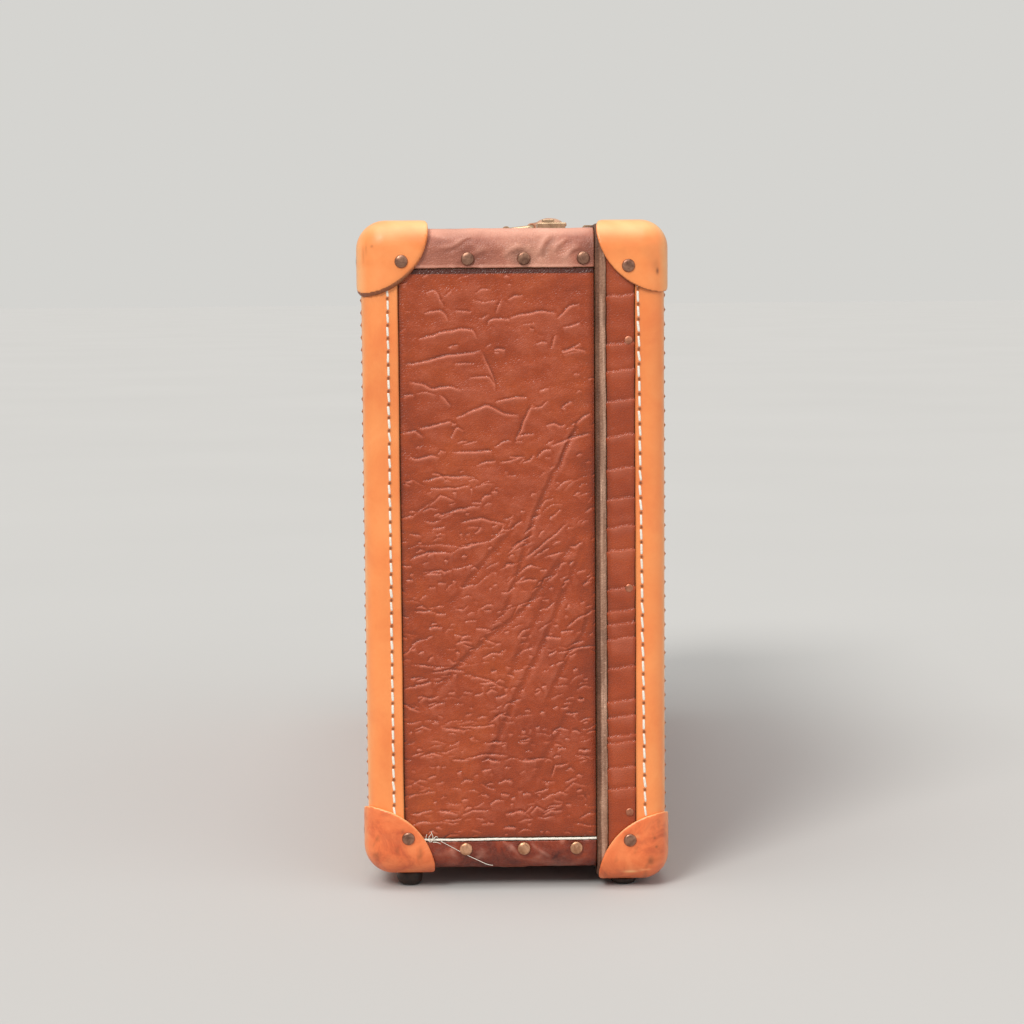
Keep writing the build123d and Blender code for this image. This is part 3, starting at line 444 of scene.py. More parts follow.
def leather_finish(
    name, colours, grain, grain_depth, roughness, pores=0.3, gloss=0.5, low=None, coat=0.0
):
    """Leather: mottled colour, fine cell grain, pores, and tone painted on the mesh.

    low holds the colours of the pieces near the floor, where they differ."""
    dark, middle, light = colours
    made = Finish(name, Specular_IOR_Level=gloss, Coat_Weight=coat, Coat_Roughness=0.3)
    mottle = made.noise(28, detail=5, rough=0.6, bend=0.4)
    colour = made.ramp(mottle, (0.3, dark), (0.52, middle), (0.75, light))
    if low:
        stain = made.noise(55, detail=5, rough=0.65, bend=0.6)
        low_colour = made.ramp(stain, (0.34, low[0]), (0.5, low[1]), (0.66, low[2]))
        colour = made.blend(made.attribute("low"), colour, low_colour)
    fine = made.noise(420, detail=4, rough=0.65)
    colour = made.blend(made.ramp(fine, (0.35, pores), (0.6, 0.0)), colour, dark)
    # Tone below zero darkens towards deep and above zero pales towards pale: it carries stains and wear, and
    # painted shade and painted highlights
    tone = made.attribute("tone")
    deep = tuple(c * 0.25 for c in dark)
    pale = tuple(min(1.0, c * 1.35 + 0.10) for c in light)
    darker = made.combine("MAXIMUM", made.combine("MULTIPLY", tone, -1.0), 0.0, limit=True)
    colour = made.blend(darker, colour, deep)
    colour = made.blend(made.combine("MAXIMUM", tone, 0.0, limit=True), colour, pale)
    rough = made.ramp(made.noise(60, detail=4), (0.3, roughness - 0.08), (0.7, roughness + 0.10))
    normal = made.bump(made.ramp(made.cells(grain), (0.0, 0.0), (0.25, 1.0)), grain_depth, 0.6)
    normal = made.bump(made.noise(900, detail=3), grain_depth * 0.5, 0.5, over=normal)
    made.done(colour, rough, normal)


def metal_finish(name, colours, roughness, scratch=0.5, low=None):
    """Aged metal: patina in patches, fine scratches both ways. low holds the colours near the floor."""
    made = Finish(name, metallic=0.9)
    patina = made.noise(160, detail=6, rough=0.7, bend=0.8)
    colour = made.ramp(patina, (0.32, colours[0]), (0.62, colours[1]))
    if low:
        colour = made.blend(made.attribute("low"), colour, made.ramp(patina, (0.32, low[0]), (0.62, low[1])))
    lines = made.noise(300, detail=2, place=made.stretched(0.15, 1.0, 3.0, turn=(0.4, 0.3, 0.5)))
    cross = made.noise(260, detail=2, place=made.stretched(3.0, 0.2, 1.0, turn=(0.9, 0.2, 0.1)))
    marks = made.blend(0.5, lines, cross)
    rough = made.ramp(marks, (0.35, roughness - 0.12), (0.65, roughness + 0.14))
    made.done(colour, rough, made.bump(marks, 0.12 * MM, scratch))


def shades(*screen_colours):
    """Linear colours of a few 8-bit screen colours, dark to light."""
    return [linear(*colour) for colour in screen_colours]


def make_finishes():
    """One material for each of the record's slots."""
    brown = shades((148, 55, 16), (164, 65, 20), (174, 75, 27))
    # The upper bands' paler pink is partly their own colour and partly a painted sheen of the light from
    # above; band_low holds the lower bands' darker red-brown
    band = shades((148, 82, 64), (182, 112, 90), (212, 152, 128))
    band_low = shades((76, 22, 10), (130, 44, 16), (158, 64, 28))
    tan = shades((240, 130, 66), (248, 146, 78), (252, 158, 90))
    tan_low = shades((206, 90, 46), (236, 118, 62), (246, 134, 76))
    rim = shades((100, 66, 50), (138, 94, 72), (178, 136, 110))
    grip = shades((178, 122, 92), (206, 150, 118), (228, 182, 148))
    bronze, bronze_low = shades((104, 70, 58), (172, 128, 106)), shades((160, 110, 80), (226, 174, 138))
    leather_finish("brown_leather", brown, 700, 0.2 * MM, 0.34, gloss=0.55)
    leather_finish("band_leather", band, 700, 0.2 * MM, 0.40, low=band_low)
    leather_finish("tan_leather", tan, 1500, 0.05 * MM, 0.42, pores=0.10, low=tan_low, coat=0.25)
    leather_finish("rim_leather", rim, 500, 0.3 * MM, 0.52, gloss=0.3)
    leather_finish("handle_leather", grip, 900, 0.12 * MM, 0.40, coat=0.15)
    metal_finish("rivet_metal", bronze, 0.40, low=bronze_low)
    metal_finish("small_rivets", shades((150, 84, 62), (200, 132, 104)), 0.42)
    metal_finish("fitting_metal", shades((190, 158, 126), (230, 200, 164)), 0.32, scratch=0.3)
    make_foot_finish()
    make_thread_finish("welt_cord", shades((226, 216, 200), (250, 246, 236)))
    make_board_finish()
    make_lining_finish()


def make_foot_finish():
    """Dark moulded feet."""
    made = Finish("feet", Specular_IOR_Level=0.4)
    dark, light = shades((34, 24, 20), (66, 48, 38))
    colour = made.ramp(made.noise(240, detail=4), (0.35, dark), (0.7, light))
    rough = made.ramp(made.noise(90), (0.3, 0.4), (0.7, 0.62))
    made.done(colour, rough, made.bump(made.noise(700, detail=4), 0.2 * MM, 0.6))


def make_thread_finish(name, colours):
    """Twisted thread: fine slanting strands."""
    made = Finish(name, roughness=0.75, Specular_IOR_Level=0.2)
    strands = made.noise(2600, detail=2, place=made.stretched(1.0, 0.5, 0.5, turn=(0.6, 0.5, 0.4)))
    colour = made.ramp(strands, (0.35, colours[0]), (0.6, colours[1]))
    made.done(colour, normal=made.bump(strands, 0.2 * MM, 0.8))


def make_board_finish():
    """Hard brown fibreboard with fibres along the boards."""
    made = Finish("fibreboard", roughness=0.7, Specular_IOR_Level=0.25)
    fibres = made.noise(500, detail=5, rough=0.7, place=made.stretched(1.0, 0.35, 1.0))
    dark, light = shades((86, 60, 42), (132, 98, 70))
    colour = made.ramp(fibres, (0.32, dark), (0.7, light))
    made.done(colour, normal=made.bump(fibres, 0.2 * MM, 0.5))


def make_lining_finish():
    """Plain woven cotton: crossing thread waves, stained in places."""
    made = Finish("lining", roughness=0.85, Specular_IOR_Level=0.15)
    along, up, deep = (made.wave(260, direction, 0.4) for direction in "YZX")
    weave = made.combine("MAXIMUM", made.combine("MULTIPLY", along, up), deep)
    dark, light, stained = shades((176, 154, 118), (214, 196, 162), (160, 130, 92))
    colour = made.ramp(weave, (0.2, dark), (0.9, light))
    stain = made.noise(9, detail=4, rough=0.6)
    colour = made.blend(made.ramp(stain, (0.5, 0.0), (0.8, 0.35)), colour, stained)
    made.done(colour, normal=made.bump(weave, 0.3 * MM, 0.6))


make_finishes()


# Studio light: an even sky and three suns, each with its name, the way it comes from, its
# strength, its width and its colour
sky_strength = 0.45
sky_colour = (0.99, 0.98, 0.96)
lamps = (
    ("key", (-0.60, -1.0, 1.05), 1.7, radians(20), (1.0, 0.97, 0.92)),
    ("over", (-0.15, -0.20, 1.0), 1.35, radians(50), (1.0, 0.98, 0.94)),
    ("fill", (1.0, -0.7, 0.5), 0.45, radians(60), (1.0, 0.98, 0.96)),
)
floor_reach = 40.0
floor_colour = ((0.525, 0.525, 0.52), (0.54, 0.54, 0.535))
backdrop_colour = (0.665, 0.658, 0.632)


def make_room():
    """Plain pale floor to the horizon under soft studio light."""
    mesh = bpy.data.meshes.new("floor")
    corners = [(x * floor_reach, y * floor_reach, 0) for x, y in ((-1, -1), (1, -1), (1, 1), (-1, 1))]
    mesh.from_pydata(corners, [], [(0, 1, 2, 3)])
    floor = bpy.data.objects.new("floor", mesh)
    bpy.context.scene.collection.objects.link(floor)
    pale = Finish("floor", roughness=0.9, Specular_IOR_Level=0.0)
    cloud = pale.ramp(pale.noise(1.2), (0.3, floor_colour[0]), (0.7, floor_colour[1]))
    mesh.materials.append(pale.done(cloud))

    world = bpy.data.worlds.new("studio")
    bpy.context.scene.world = world
    world.use_nodes = True
    tree = world.node_tree
    lit = tree.nodes["Background"]
    lit.inputs["Color"].default_value = (*sky_colour, 1)
    lit.inputs["Strength"].default_value = sky_strength
    seen = tree.nodes.new("ShaderNodeBackground")
    seen.inputs["Color"].default_value = (*backdrop_colour, 1)
    choice = tree.nodes.new("ShaderNodeMixShader")
    path = tree.nodes.new("ShaderNodeLightPath")
    tree.links.new(path.outputs["Is Camera Ray"], choice.inputs["Fac"])
    tree.links.new(lit.outputs["Background"], choice.inputs[1])
    tree.links.new(seen.outputs["Background"], choice.inputs[2])
    tree.links.new(choice.outputs["Shader"], tree.nodes["World Output"].inputs["Surface"])

    for name, come_from, strength, width, colour in lamps:
        data = bpy.data.lights.new(name, "SUN")
        data.energy, data.angle, data.color = strength, width, colour
        lamp = bpy.data.objects.new(name, data)
        lamp.rotation_euler = (-Vector(come_from)).to_track_quat("-Z", "Y").to_euler()
        bpy.context.scene.collection.objects.link(lamp)


# Leather bindings

def dotted(along, pitch, length):
    """Distance along a row of even stitches to the nearest gap between two of them."""
    even = length / round(length / pitch)
    return abs((along + even / 2) % even - even / 2)


def stitch_x(tray, z):
    """X of a tray's stitches on its walls. The lid's row leans: it is nearer the rim at the top."""
    at_top, at_bottom = stitch_row[tray]
    share = (lid_high.z - z) / (lid_high.z - lid_low.z)
    return at_top + (at_bottom - at_top) * share


def stitch_puckers(distance_across, distance_along):
    """The leather's low ridge under a row of stitches with a knob between stitches, and painted shade there
    for the stitch holes.
    """
    ridge = 0.28 * MM * bell(distance_across, 1.3 * MM)
    knob = bell(np.sqrt(distance_across**2 + (0.8 * distance_along) ** 2), 0.70 * MM)
    return ridge + 0.9 * MM * knob, 2.2 * knob


outer_side = [0, 1, 1, 1, 0, 0]  # which corners of a binding's or band's section are at its outer side


def make_binding(tray, ring, sign, wall_edge_x, face_x, leather, edge_radius, face_width):
    """Leather bound round a tray's outer edge, from its wall on to its big face."""
    outer_x, seat_x = face_x + sign * leather, face_x + sign * seat_gap
    inner_grow = leather - face_width
    corners = [
        (wall_edge_x, seat_gap), (wall_edge_x, leather), (outer_x, leather),
        (outer_x, inner_grow), (seat_x, inner_grow), (seat_x, seat_gap),
    ]
    radii = [0, 0.7 * MM, edge_radius + leather, 0.7 * MM, 0, edge_radius]
    steps = [0.5 * MM, 0.7 * MM, 0.9 * MM, 1.0 * MM, 4 * MM, 4 * MM]
    (x, grow), (normal_x, normal_out), lifts = rounded_path(corners, radii, outer_side, steps)
    along = ring.along[:, None]
    from_knob = dotted(along, stitch_pitch[tray], ring.length)
    pucker, dark = 0, 0
    for across, here in (
        (x - stitch_x(tray, ring.z[:, None]), grow > leather - 0.2 * MM),
        (grow - inner_grow - face_stitch_inset, abs(x - outer_x) < 0.2 * MM),
    ):
        row_pucker, row_dark = stitch_puckers(across, from_knob)
        pucker, dark = pucker + row_pucker * here, dark + row_dark * here
    swell = 0.10 * MM * layered_noise(along / (46 * MM), x / (25 * MM), 11)
    edge_wave = 0.22 * MM * layered_noise(along / (60 * MM), 0 * x, 12)
    lift = lifts * (pucker - swell)
    near_edge = np.clip(1 - abs(x - wall_edge_x) / (4 * MM), 0, 1)
    points = ring.at(x + lift * normal_x + near_edge * edge_wave, grow + lift * normal_out)
    # Painted shade along the binding's edge on the wall, where it meets the panel
    edge_shade = bell(x - wall_edge_x, 0.7 * MM) * lifts
    # Painted highlight along the rounded edge between wall and big face, uneven along its length
    edge_highlight = bell(grow - leather + 0.8 * edge_radius, 2.6 * MM) * lifts
    edge_highlight = edge_highlight * (0.42 + 0.25 * layered_noise(along / (14 * MM), 0 * x, 14))
    # The knobs' darkness is painted shade at the stitch holes
    tone = np.clip(edge_highlight - dark * lifts - 0.45 * edge_shade, -1, 1)
    tone = tone + 0.10 * layered_noise(along / (90 * MM), grow / (14 * MM), 13)
    make_skin(
        f"{tray}_binding_leather", points, (True, True), tray, "tan_leather", (f"{tray}_binding",), tone
    )


def make_stitches(name, body, places, headings, normals, length, stand, thick=stitch_thick):
    """Flattened thread stitches that dip into the leather at both ends."""
    rng = np.random.default_rng(len(places))
    sides, runs = 8, 9
    tube = np.array(grid_faces(runs, sides, False, True))
    turn = np.linspace(0, 2 * pi, sides, endpoint=False)
    share = np.linspace(-1, 1, runs)
    girth = np.sqrt(np.clip(1.02 - share**8, 0, 1)) * (0.88 + 0.12 * (1 - share**2))
    points, faces = [], []
    for place, heading, normal in zip(places, headings, normals):
        across = np.cross(normal, heading)
        slant = stitch_slant + rng.normal(0, radians(2.5))
        direction = heading * cos(slant) + across * sin(slant)
        across = np.cross(normal, direction)
        middle = place + across * rng.normal(0, 0.12 * MM)
        size = 1 + rng.normal(0, 0.05)
        spine = middle + np.outer(share * length / 2 * (1 + rng.normal(0, 0.03)), direction)
        spine = spine + np.outer(stand - 0.70 * MM * share**8, normal)
        arms = np.outer(np.cos(turn), across) * 1.15 + np.outer(np.sin(turn), normal) * stitch_flat
        loop = spine[:, None, :] + girth[:, None, None] * arms * thick * size
        base = len(points) * sides * runs
        points.append(loop)
        faces.extend((tube + base).tolist())
        faces.extend([end + base + j for j in range(sides)] for end in (0, (runs - 1) * sides))
    make_piece(name, np.array(points), faces, body, "welt_cord")


def row_of_stitches(name, body, ring, x, grow, normal_share, stand):
    """Stitches all round a ring, at depth x and offset grow, half-way between the knobs."""
    pitch = stitch_pitch[body]
    count = round(ring.length / pitch)
    centres = (np.arange(count) + 0.5) * ring.length / count
    along = np.append(ring.along, ring.length)

    def round_ring(values, at):
        """Values of the ring's places, read at these lengths round it."""
        return np.stack([np.interp(at, along, np.append(column, column[0])) for column in values.T], axis=1)

    points = ring.at(x, grow)[:, 0, :]
    places = round_ring(points, centres)
    headings = round_ring(points, (centres + 1 * MM) % ring.length) - places
    headings /= np.linalg.norm(headings, axis=1)[:, None]
    outward = round_ring(np.stack((ring.normal_y, ring.normal_z), axis=1), centres)
    share_x, share_out = normal_share
    normals = np.column_stack((np.full(count, share_x), share_out * outward))
    normals /= np.linalg.norm(normals, axis=1)[:, None]
    make_stitches(name, body, places, headings, normals, pitch * stitch_fill, stand)


# Creased leather panels

def rounded_run(low, high, edge, step):
    """Even places between two edges with a finely rounded end each side, and the lift there."""
    turns = np.radians((25, 50, 72))
    near = np.concatenate(((0, 0), edge * (1 - np.cos(turns))))
    rise = np.concatenate(((0, 0.15), np.sin(turns)))
    count = max(2, round((high - low - 2 * edge) / step))
    middle = np.linspace(low + edge, high - edge, count + 1)
    run = np.concatenate((low + near, middle, high - near[::-1]))
    return run, np.concatenate((rise, np.ones(count + 1), rise[::-1]))


def curve_through(points, step):
    """Points of a smooth curve through a few places."""
    points = np.array(points, float)
    extended = np.vstack((2 * points[0] - points[1], points, 2 * points[-1] - points[-2]))
    out = []
    for i in range(1, len(extended) - 2):
        p0, p1, p2, p3 = extended[i - 1 : i + 3]
        count = max(2, int(np.linalg.norm(p2 - p1) / step))
        t = (np.arange(count) / count)[:, None]
        square, cube = 2 * p0 - 5 * p1 + 4 * p2 - p3, 3 * p1 - p0 - 3 * p2 + p3
        out.append(0.5 * (2 * p1 + (p2 - p0) * t + square * t**2 + cube * t**3))
    out.append(extended[-2][None, :])
    return np.vstack(out)


hide_warp = 0.5 * MM  # how far a crease wanders to its sides


class Hide:
    """Height field of a piece of leather over a flat grid, and the creases pressed into it. Metres."""

    def __init__(self, run_u, run_v, seed):
        self.run_u, self.run_v = run_u, run_v
        u, v = np.meshgrid(run_u, run_v, indexing="ij")
        self.flat_u, self.flat_v = u, v
        self.u = u + hide_warp * layered_noise(u / (9 * MM), v / (9 * MM), seed + 20)
        self.v = v + hide_warp * layered_noise(u / (8 * MM), v / (8 * MM), seed + 21)
        self.height = np.zeros(u.shape)
        self.rng = np.random.default_rng(seed)

    def window(self, line, reach):
        """The part of the grid near a line."""
        low, high = line.min(axis=0) - reach, line.max(axis=0) + reach
        first_u, last_u = np.searchsorted(self.run_u, (low[0], high[0]))
        first_v, last_v = np.searchsorted(self.run_v, (low[1], high[1]))
        return slice(first_u, last_u), slice(first_v, last_v)

    def press(self, line, width, height, profile):
        """Adds a crease along a line, tapered at both ends. Above the line is its left side."""
        near = self.window(line, 9 * width)
        u, v = self.u[near], self.v[near]
        if u.size == 0:
            return
        best = np.full(u.shape, 1e9)
        signed, taper = np.zeros(u.shape), np.zeros(u.shape)
        steps = len(line) - 1
        for i in range(steps):
            start, run = line[i], line[i + 1] - line[i]
            length = max(hypot(*run), 1e-9)
            share = ((u - start[0]) * run[0] + (v - start[1]) * run[1]) / length**2
            share = np.clip(share, 0, 1)
            du, dv = u - start[0] - share * run[0], v - start[1] - share * run[1]
            gap = du**2 + dv**2
            closer = gap < best
            best = np.where(closer, gap, best)
            side = (run[0] * dv - run[1] * du) / length
            signed = np.where(closer, np.sign(side) * np.sqrt(gap), signed)
            taper = np.where(closer, np.sqrt(np.sin(pi * (i + share) / steps).clip(0, 1)), taper)
        self.height[near] += height * taper * profile(signed / width)

    def press_through(self, places, width, height, profile):
        """A crease along a smooth curve through a few places, run so that its left side is up."""
        if places[0][0] > places[-1][0]:
            places = places[::-1]
        self.press(curve_through(places, 1.2 * MM), width, height, profile)

    def press_short(self, centre, heading, length, bow, width, height, profile):
        """A short bowed crease about a place."""
        way = np.array((cos(heading), sin(heading)))
        across = np.array((-way[1], way[0]))
        centre = np.array(centre)
        ends = centre - way * length / 2, centre + way * length / 2
        self.press(np.array((ends[0], centre + across * bow, ends[1])), width, height, profile)


def valley_profile(across):
    """A long soft furrow between two swells."""
    return 0.7 * np.exp(-abs(across) / 2.2) - 1.5 * bell(across, 0.8)


def step_profile(across):
    """A crack in a hide: the skin above dips into it, and the skin below stands up as a lip."""
    below = 0.5 * (1 - np.tanh(across / 0.35))
    lip = np.exp(-abs(across) / 3.2)
    dip = -0.75 * np.exp(-abs(across) / 1.6)
    return below * lip + (1 - below) * dip


def swell_profile(across):
    """A soft ridge with a valley on its lower side."""
    return bell(across, 1) - 0.9 * bell(across + 1.6, 1.2)


# Creases of the left end, at their places in the photograph: pixels, then width and height in mm
broad_folds = (
    (((478, 777), (495, 743), (517, 693), (537, 655), (560, 600), (583, 545)), 2.6, 0.5),
    (((425, 707), (442, 683), (465, 658), (488, 637), (526, 606), (560, 560), (578, 535)), 2.6, 0.55),
    (((545, 708), (555, 683), (568, 655), (583, 630), (590, 600)), 2.2, 0.4),
    (((499, 621), (514, 583), (530, 529), (545, 490), (564, 452), (580, 421)), 2.2, 0.5),
    (((446, 610), (470, 578), (499, 544), (526, 513)), 2.6, 0.45),
    (((556, 471), (563, 455), (571, 436), (577, 423)), 1.6, 0.5),
    (((500, 700), (520, 650), (545, 600)), 2.6, 0.35),
    (((530, 790), (550, 745), (575, 700)), 2.6, 0.3),
)
sharp_folds = (
    (((418, 339), (438, 334), (455, 330), (471, 330), (476, 334), (478, 339)), 1.0, 0.55),
    (((405, 365), (418, 363), (442, 357), (464, 354), (481, 351)), 1.0, 0.55),
    (((482, 352), (488, 364), (494, 379), (496, 392)), 0.9, 0.35),
    (((468, 378), (481, 377), (489, 377), (495, 386)), 0.8, 0.35),
    (((424, 314), (438, 311), (445, 314), (449, 322)), 0.8, 0.4),
    (((426, 292), (436, 291), (441, 301), (444, 308)), 0.8, 0.3),
    (((455, 311), (463, 311), (471, 312)), 0.8, 0.3),
    (((488, 326), (489, 321), (498, 319), (506, 319)), 0.8, 0.4),
    (((507, 319), (521, 315), (538, 312), (557, 312)), 0.9, 0.45),
    (((557, 319), (564, 311), (571, 306), (580, 304)), 0.8, 0.45),
    (((563, 328), (572, 326), (581, 323)), 0.8, 0.4),
    (((561, 352), (571, 348), (581, 343)), 0.9, 0.45),
    (((551, 349), (553, 341), (555, 335)), 0.8, 0.35),
    (((495, 314), (498, 306), (501, 299)), 0.8, 0.3),
    (((508, 299), (516, 296), (524, 295)), 0.8, 0.35),
    (((474, 294), (481, 289), (492, 289)), 0.8, 0.25),
    (((494, 350), (500, 349), (506, 350)), 0.9, 0.55),
    (((409, 382), (424, 385), (432, 389), (441, 388), (452, 387), (462, 391)), 0.9, 0.5),
    (((441, 396), (445, 399), (451, 406)), 0.8, 0.35),
    (((403, 396), (414, 395)), 0.8, 0.35),
    (((456, 418), (466, 414), (478, 409), (486, 406), (495, 408), (504, 414), (519, 415)), 1.0, 0.55),
    (((495, 402), (506, 399), (518, 397), (528, 398)), 0.9, 0.5),
    (((419, 429), (432, 426), (442, 423), (451, 422), (455, 425)), 0.9, 0.5),
    (((403, 434), (414, 431), (418, 433), (424, 438)), 0.8, 0.4),
    (((451, 439), (456, 428), (465, 431)), 0.9, 0.35),
    (((452, 452), (469, 452), (486, 451), (494, 452)), 0.9, 0.5),
    (((410, 457), (418, 459), (432, 456), (440, 457)), 0.9, 0.5),
    (((509, 456), (517, 457), (525, 458)), 0.8, 0.4),
    (((515, 444), (521, 429), (526, 416), (532, 404)), 1.0, 0.5),
    (((518, 436), (524, 435), (534, 434)), 0.8, 0.35),
    (((546, 426), (554, 424), (561, 426), (566, 424)), 0.8, 0.4),
    (((562, 409), (566, 405), (572, 401)), 0.8, 0.4),
    (((538, 392), (545, 389), (549, 388)), 0.8, 0.3),
    (((575, 426), (581, 419), (591, 413)), 0.9, 0.5),
    (((551, 446), (562, 442), (578, 436), (591, 434)), 0.9, 0.5),
    (((538, 458), (542, 452), (551, 449)), 0.8, 0.45),
    (((422, 481), (445, 477), (474, 477)), 0.9, 0.45),
    (((405, 482), (413, 481)), 0.8, 0.4),
    (((430, 489), (452, 488), (470, 486)), 0.8, 0.4),
    (((437, 517), (450, 512), (466, 508), (480, 506)), 0.9, 0.4),
    (((460, 523), (480, 519), (505, 524)), 0.9, 0.45),
    (((410, 560), (428, 553), (453, 553)), 0.9, 0.45),
    (((424, 575), (440, 570), (447, 574)), 0.8, 0.4),
    (((414, 687), (423, 684), (431, 682)), 0.8, 0.5),
    (((455, 645), (464, 641), (473, 642)), 0.8, 0.45),
    (((470, 678), (482, 678), (492, 681), (503, 688)), 0.8, 0.4),
    (((442, 727), (452, 729), (466, 730)), 0.8, 0.45),
    (((440, 811), (452, 812), (459, 814)), 0.8, 0.5),
    (((505, 814), (515, 812), (524, 811)), 0.8, 0.4),
    (((543, 812), (549, 809), (556, 807)), 0.8, 0.45),
    (((415, 823), (424, 822), (432, 823)), 0.8, 0.35),
    (((545, 637), (553, 637), (562, 638)), 0.8, 0.35),
)


def short_creases(hide, spacing_u, spacing_v, lean, length, width, height, where):
    """Short cracks scattered evenly over a hide, leaning as the skin stretches there."""
    rng = hide.rng
    for u in np.arange(hide.run_u[0], hide.run_u[-1], spacing_u):
        for v in np.arange(hide.run_v[0], hide.run_v[-1], spacing_v):
            centre = (u + rng.uniform(-0.5, 0.5) * spacing_u, v + rng.uniform(-0.6, 0.6) * spacing_v)
            if rng.uniform() > where(*centre):
                continue
            size = rng.lognormal(0, 0.45)
            hide.press_short(
                centre,
                lean(*centre) + rng.normal(0, radians(13)),
                length * size,
                rng.normal(0.06, 0.10) * length * size,
                width * rng.uniform(0.8, 1.25),
                height * rng.uniform(0.35, 1.2),
                step_profile,
            )


def crease_end_hide(hide, end_y, from_photo):
    """Creases of an end wall's leather: the photographed end has its own, the other similar ones."""
    low_v, high_v = hide.run_v[0], hide.run_v[-1]
    low_u, high_u = hide.run_u[0], hide.run_u[-1]

    def share_up(v):
        return (v - low_v) / (high_v - low_v)

    def share_right(u):
        return (u - low_u) / (high_u - low_u)

    def lean(u, v):
        """Level at the left and below, steeper to the right in the middle."""
        middle = 1 - abs(share_up(v) - 0.52) / 0.35
        return radians(4 + 34 * max(0, middle) * share_right(u))

    def crowded(u, v):
        """More short cracks below the middle."""
        return float(0.18 + 0.72 * fade((0.72 - share_up(v)) / 0.22))

    if from_photo:
        kinds = ((broad_folds, valley_profile, 1.0), (sharp_folds, step_profile, 1.6))
        for folds, profile, strength in kinds:
            for pixels, width, height in folds:
                places = [photo_to_end(px, py, end_y) for px, py in pixels]
                hide.press_through(places, width * MM, strength * height * MM, profile)
    else:
        for _ in range(9):
            centre = (hide.rng.uniform(low_u, high_u), hide.rng.uniform(low_v, high_v))
            hide.press_short(
                centre, radians(hide.rng.normal(60, 7)), hide.rng.uniform(60, 130) * MM,
                hide.rng.normal(0, 5) * MM, 2.5 * MM, 0.45 * MM, valley_profile,
            )
        for _ in range(46):
            centre = (hide.rng.uniform(low_u, high_u), low_v + (high_v - low_v) * hide.rng.uniform(0.5, 1.0))
            hide.press_short(
                centre, radians(hide.rng.normal(6, 14)), hide.rng.uniform(10, 30) * MM,
                hide.rng.normal(0.8, 1.2) * MM, 0.9 * MM, hide.rng.uniform(0.3, 0.55) * MM, step_profile,
            )
    short_creases(hide, 9.0 * MM, 6.4 * MM, lean, 5.5 * MM, 0.55 * MM, 0.52 * MM, crowded)
    short_creases(
        hide, 16 * MM, 11 * MM, lean, 10 * MM, 0.62 * MM, 0.58 * MM, lambda u, v: 0.9 * crowded(u, v)
    )
    hide.height += 0.40 * MM * layered_noise(hide.u / (30 * MM), hide.v / (20 * MM), 160)
    hide.height += 0.30 * MM * soft_noise(hide.u / (13 * MM), hide.v / (9 * MM), 165)
    hide.height += 0.05 * MM * layered_noise(hide.u / (4 * MM), hide.v / (3 * MM), 170)


def smoothed(field, rounds):
    """A height field with its small forms averaged away."""
    for _ in range(rounds):
        padded = np.pad(field, 1, mode="edge")
        field = (padded[:-2, 1:-1] + padded[2:, 1:-1] + padded[1:-1, :-2] + padded[1:-1, 2:]) / 4
    return field


def make_sheet(
    name, origin, u_axis, v_axis, normal, u_span, v_span, thickness, step, crease, body, node, under_top=0.0
):
    """A leather cover on a flat wall, with soft shoulders and creases.

    Within under_top of its upper edge it carries a painted shadow of the neighbouring band, and such a
    sheet is a little paler in its upper half."""
    run_u, lift_u = rounded_run(*u_span, 0.8 * MM, step)
    run_v, lift_v = rounded_run(*v_span, 0.8 * MM, step)
    seed = len(name) + int(abs(u_span[0]) / MM)
    hide = Hide(run_u, run_v, seed)
    crease(hide)
    u, v = hide.flat_u, hide.flat_v
    lift = np.minimum(lift_u[:, None], lift_v[None, :])
    from_sides = np.minimum(u - u_span[0], u_span[1] - u)
    from_edge = np.minimum(from_sides, np.minimum(v - v_span[0], v_span[1] - v))
    detail = hide.height * fade(from_edge / (5 * MM)) + shoulder * fade(from_edge / (4.5 * MM))
    rise = np.maximum(lift * thickness + (detail - 0.2 * MM) * (lift > 0.99), 0)
    points = (
        np.array(origin)
        + u[:, :, None] * np.array(u_axis)
        + v[:, :, None] * np.array(v_axis)
        + rise[:, :, None] * np.array(normal)
    )
    # Painted highlights on the crease ridges and painted shade in their grooves, and darker where the
    # leather lies lower
    relief = (hide.height - smoothed(hide.height, 12)) / (0.12 * MM)
    tone = 0.25 * np.clip(relief, 0, 2.2) + 0.15 * np.clip(relief, -2.6, 0)
    tone = tone + 0.12 * np.clip(hide.height / (0.45 * MM), -1.8, 0.8)
    # Painted shade along the sheet's edges, next to the parts that border it
    tone = tone - 0.50 * bell(from_edge, 1.5 * MM) - 0.16 * bell(from_edge, 9 * MM)
    if under_top:
        share_up = (v - v_span[0]) / (v_span[1] - v_span[0])
        tone = tone + 0.07 * fade((share_up - 0.45) / 0.55)
        # Painted shadow of the band along the top edge
        tone = tone - 1.3 * fade((under_top + 0.6 * MM - (v_span[1] - v)) / (1.0 * MM))
    make_skin(name, points, (False, False), body, "brown_leather", (node,), tone)


def make_end_panels():
    """The creased leather on the base's two end walls."""
    for side, end in ENDS:
        node = f"base_end_panel_{end}"
        low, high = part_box(node)
        thickness = high.y - low.y
        end_y = side * (base_high.y + thickness)
        make_sheet(
            f"end_panel_leather_{end}", (0, side * base_high.y, 0), (1, 0, 0), (0, 0, 1), (0, side, 0),
            (low.x, high.x), (low.z, high.z + panel_tuck), thickness, 0.41 * MM if side < 0 else 0.7 * MM,
            lambda hide: crease_end_hide(hide, end_y, side < 0), "base", node, panel_tuck + 1.5 * MM,
        )


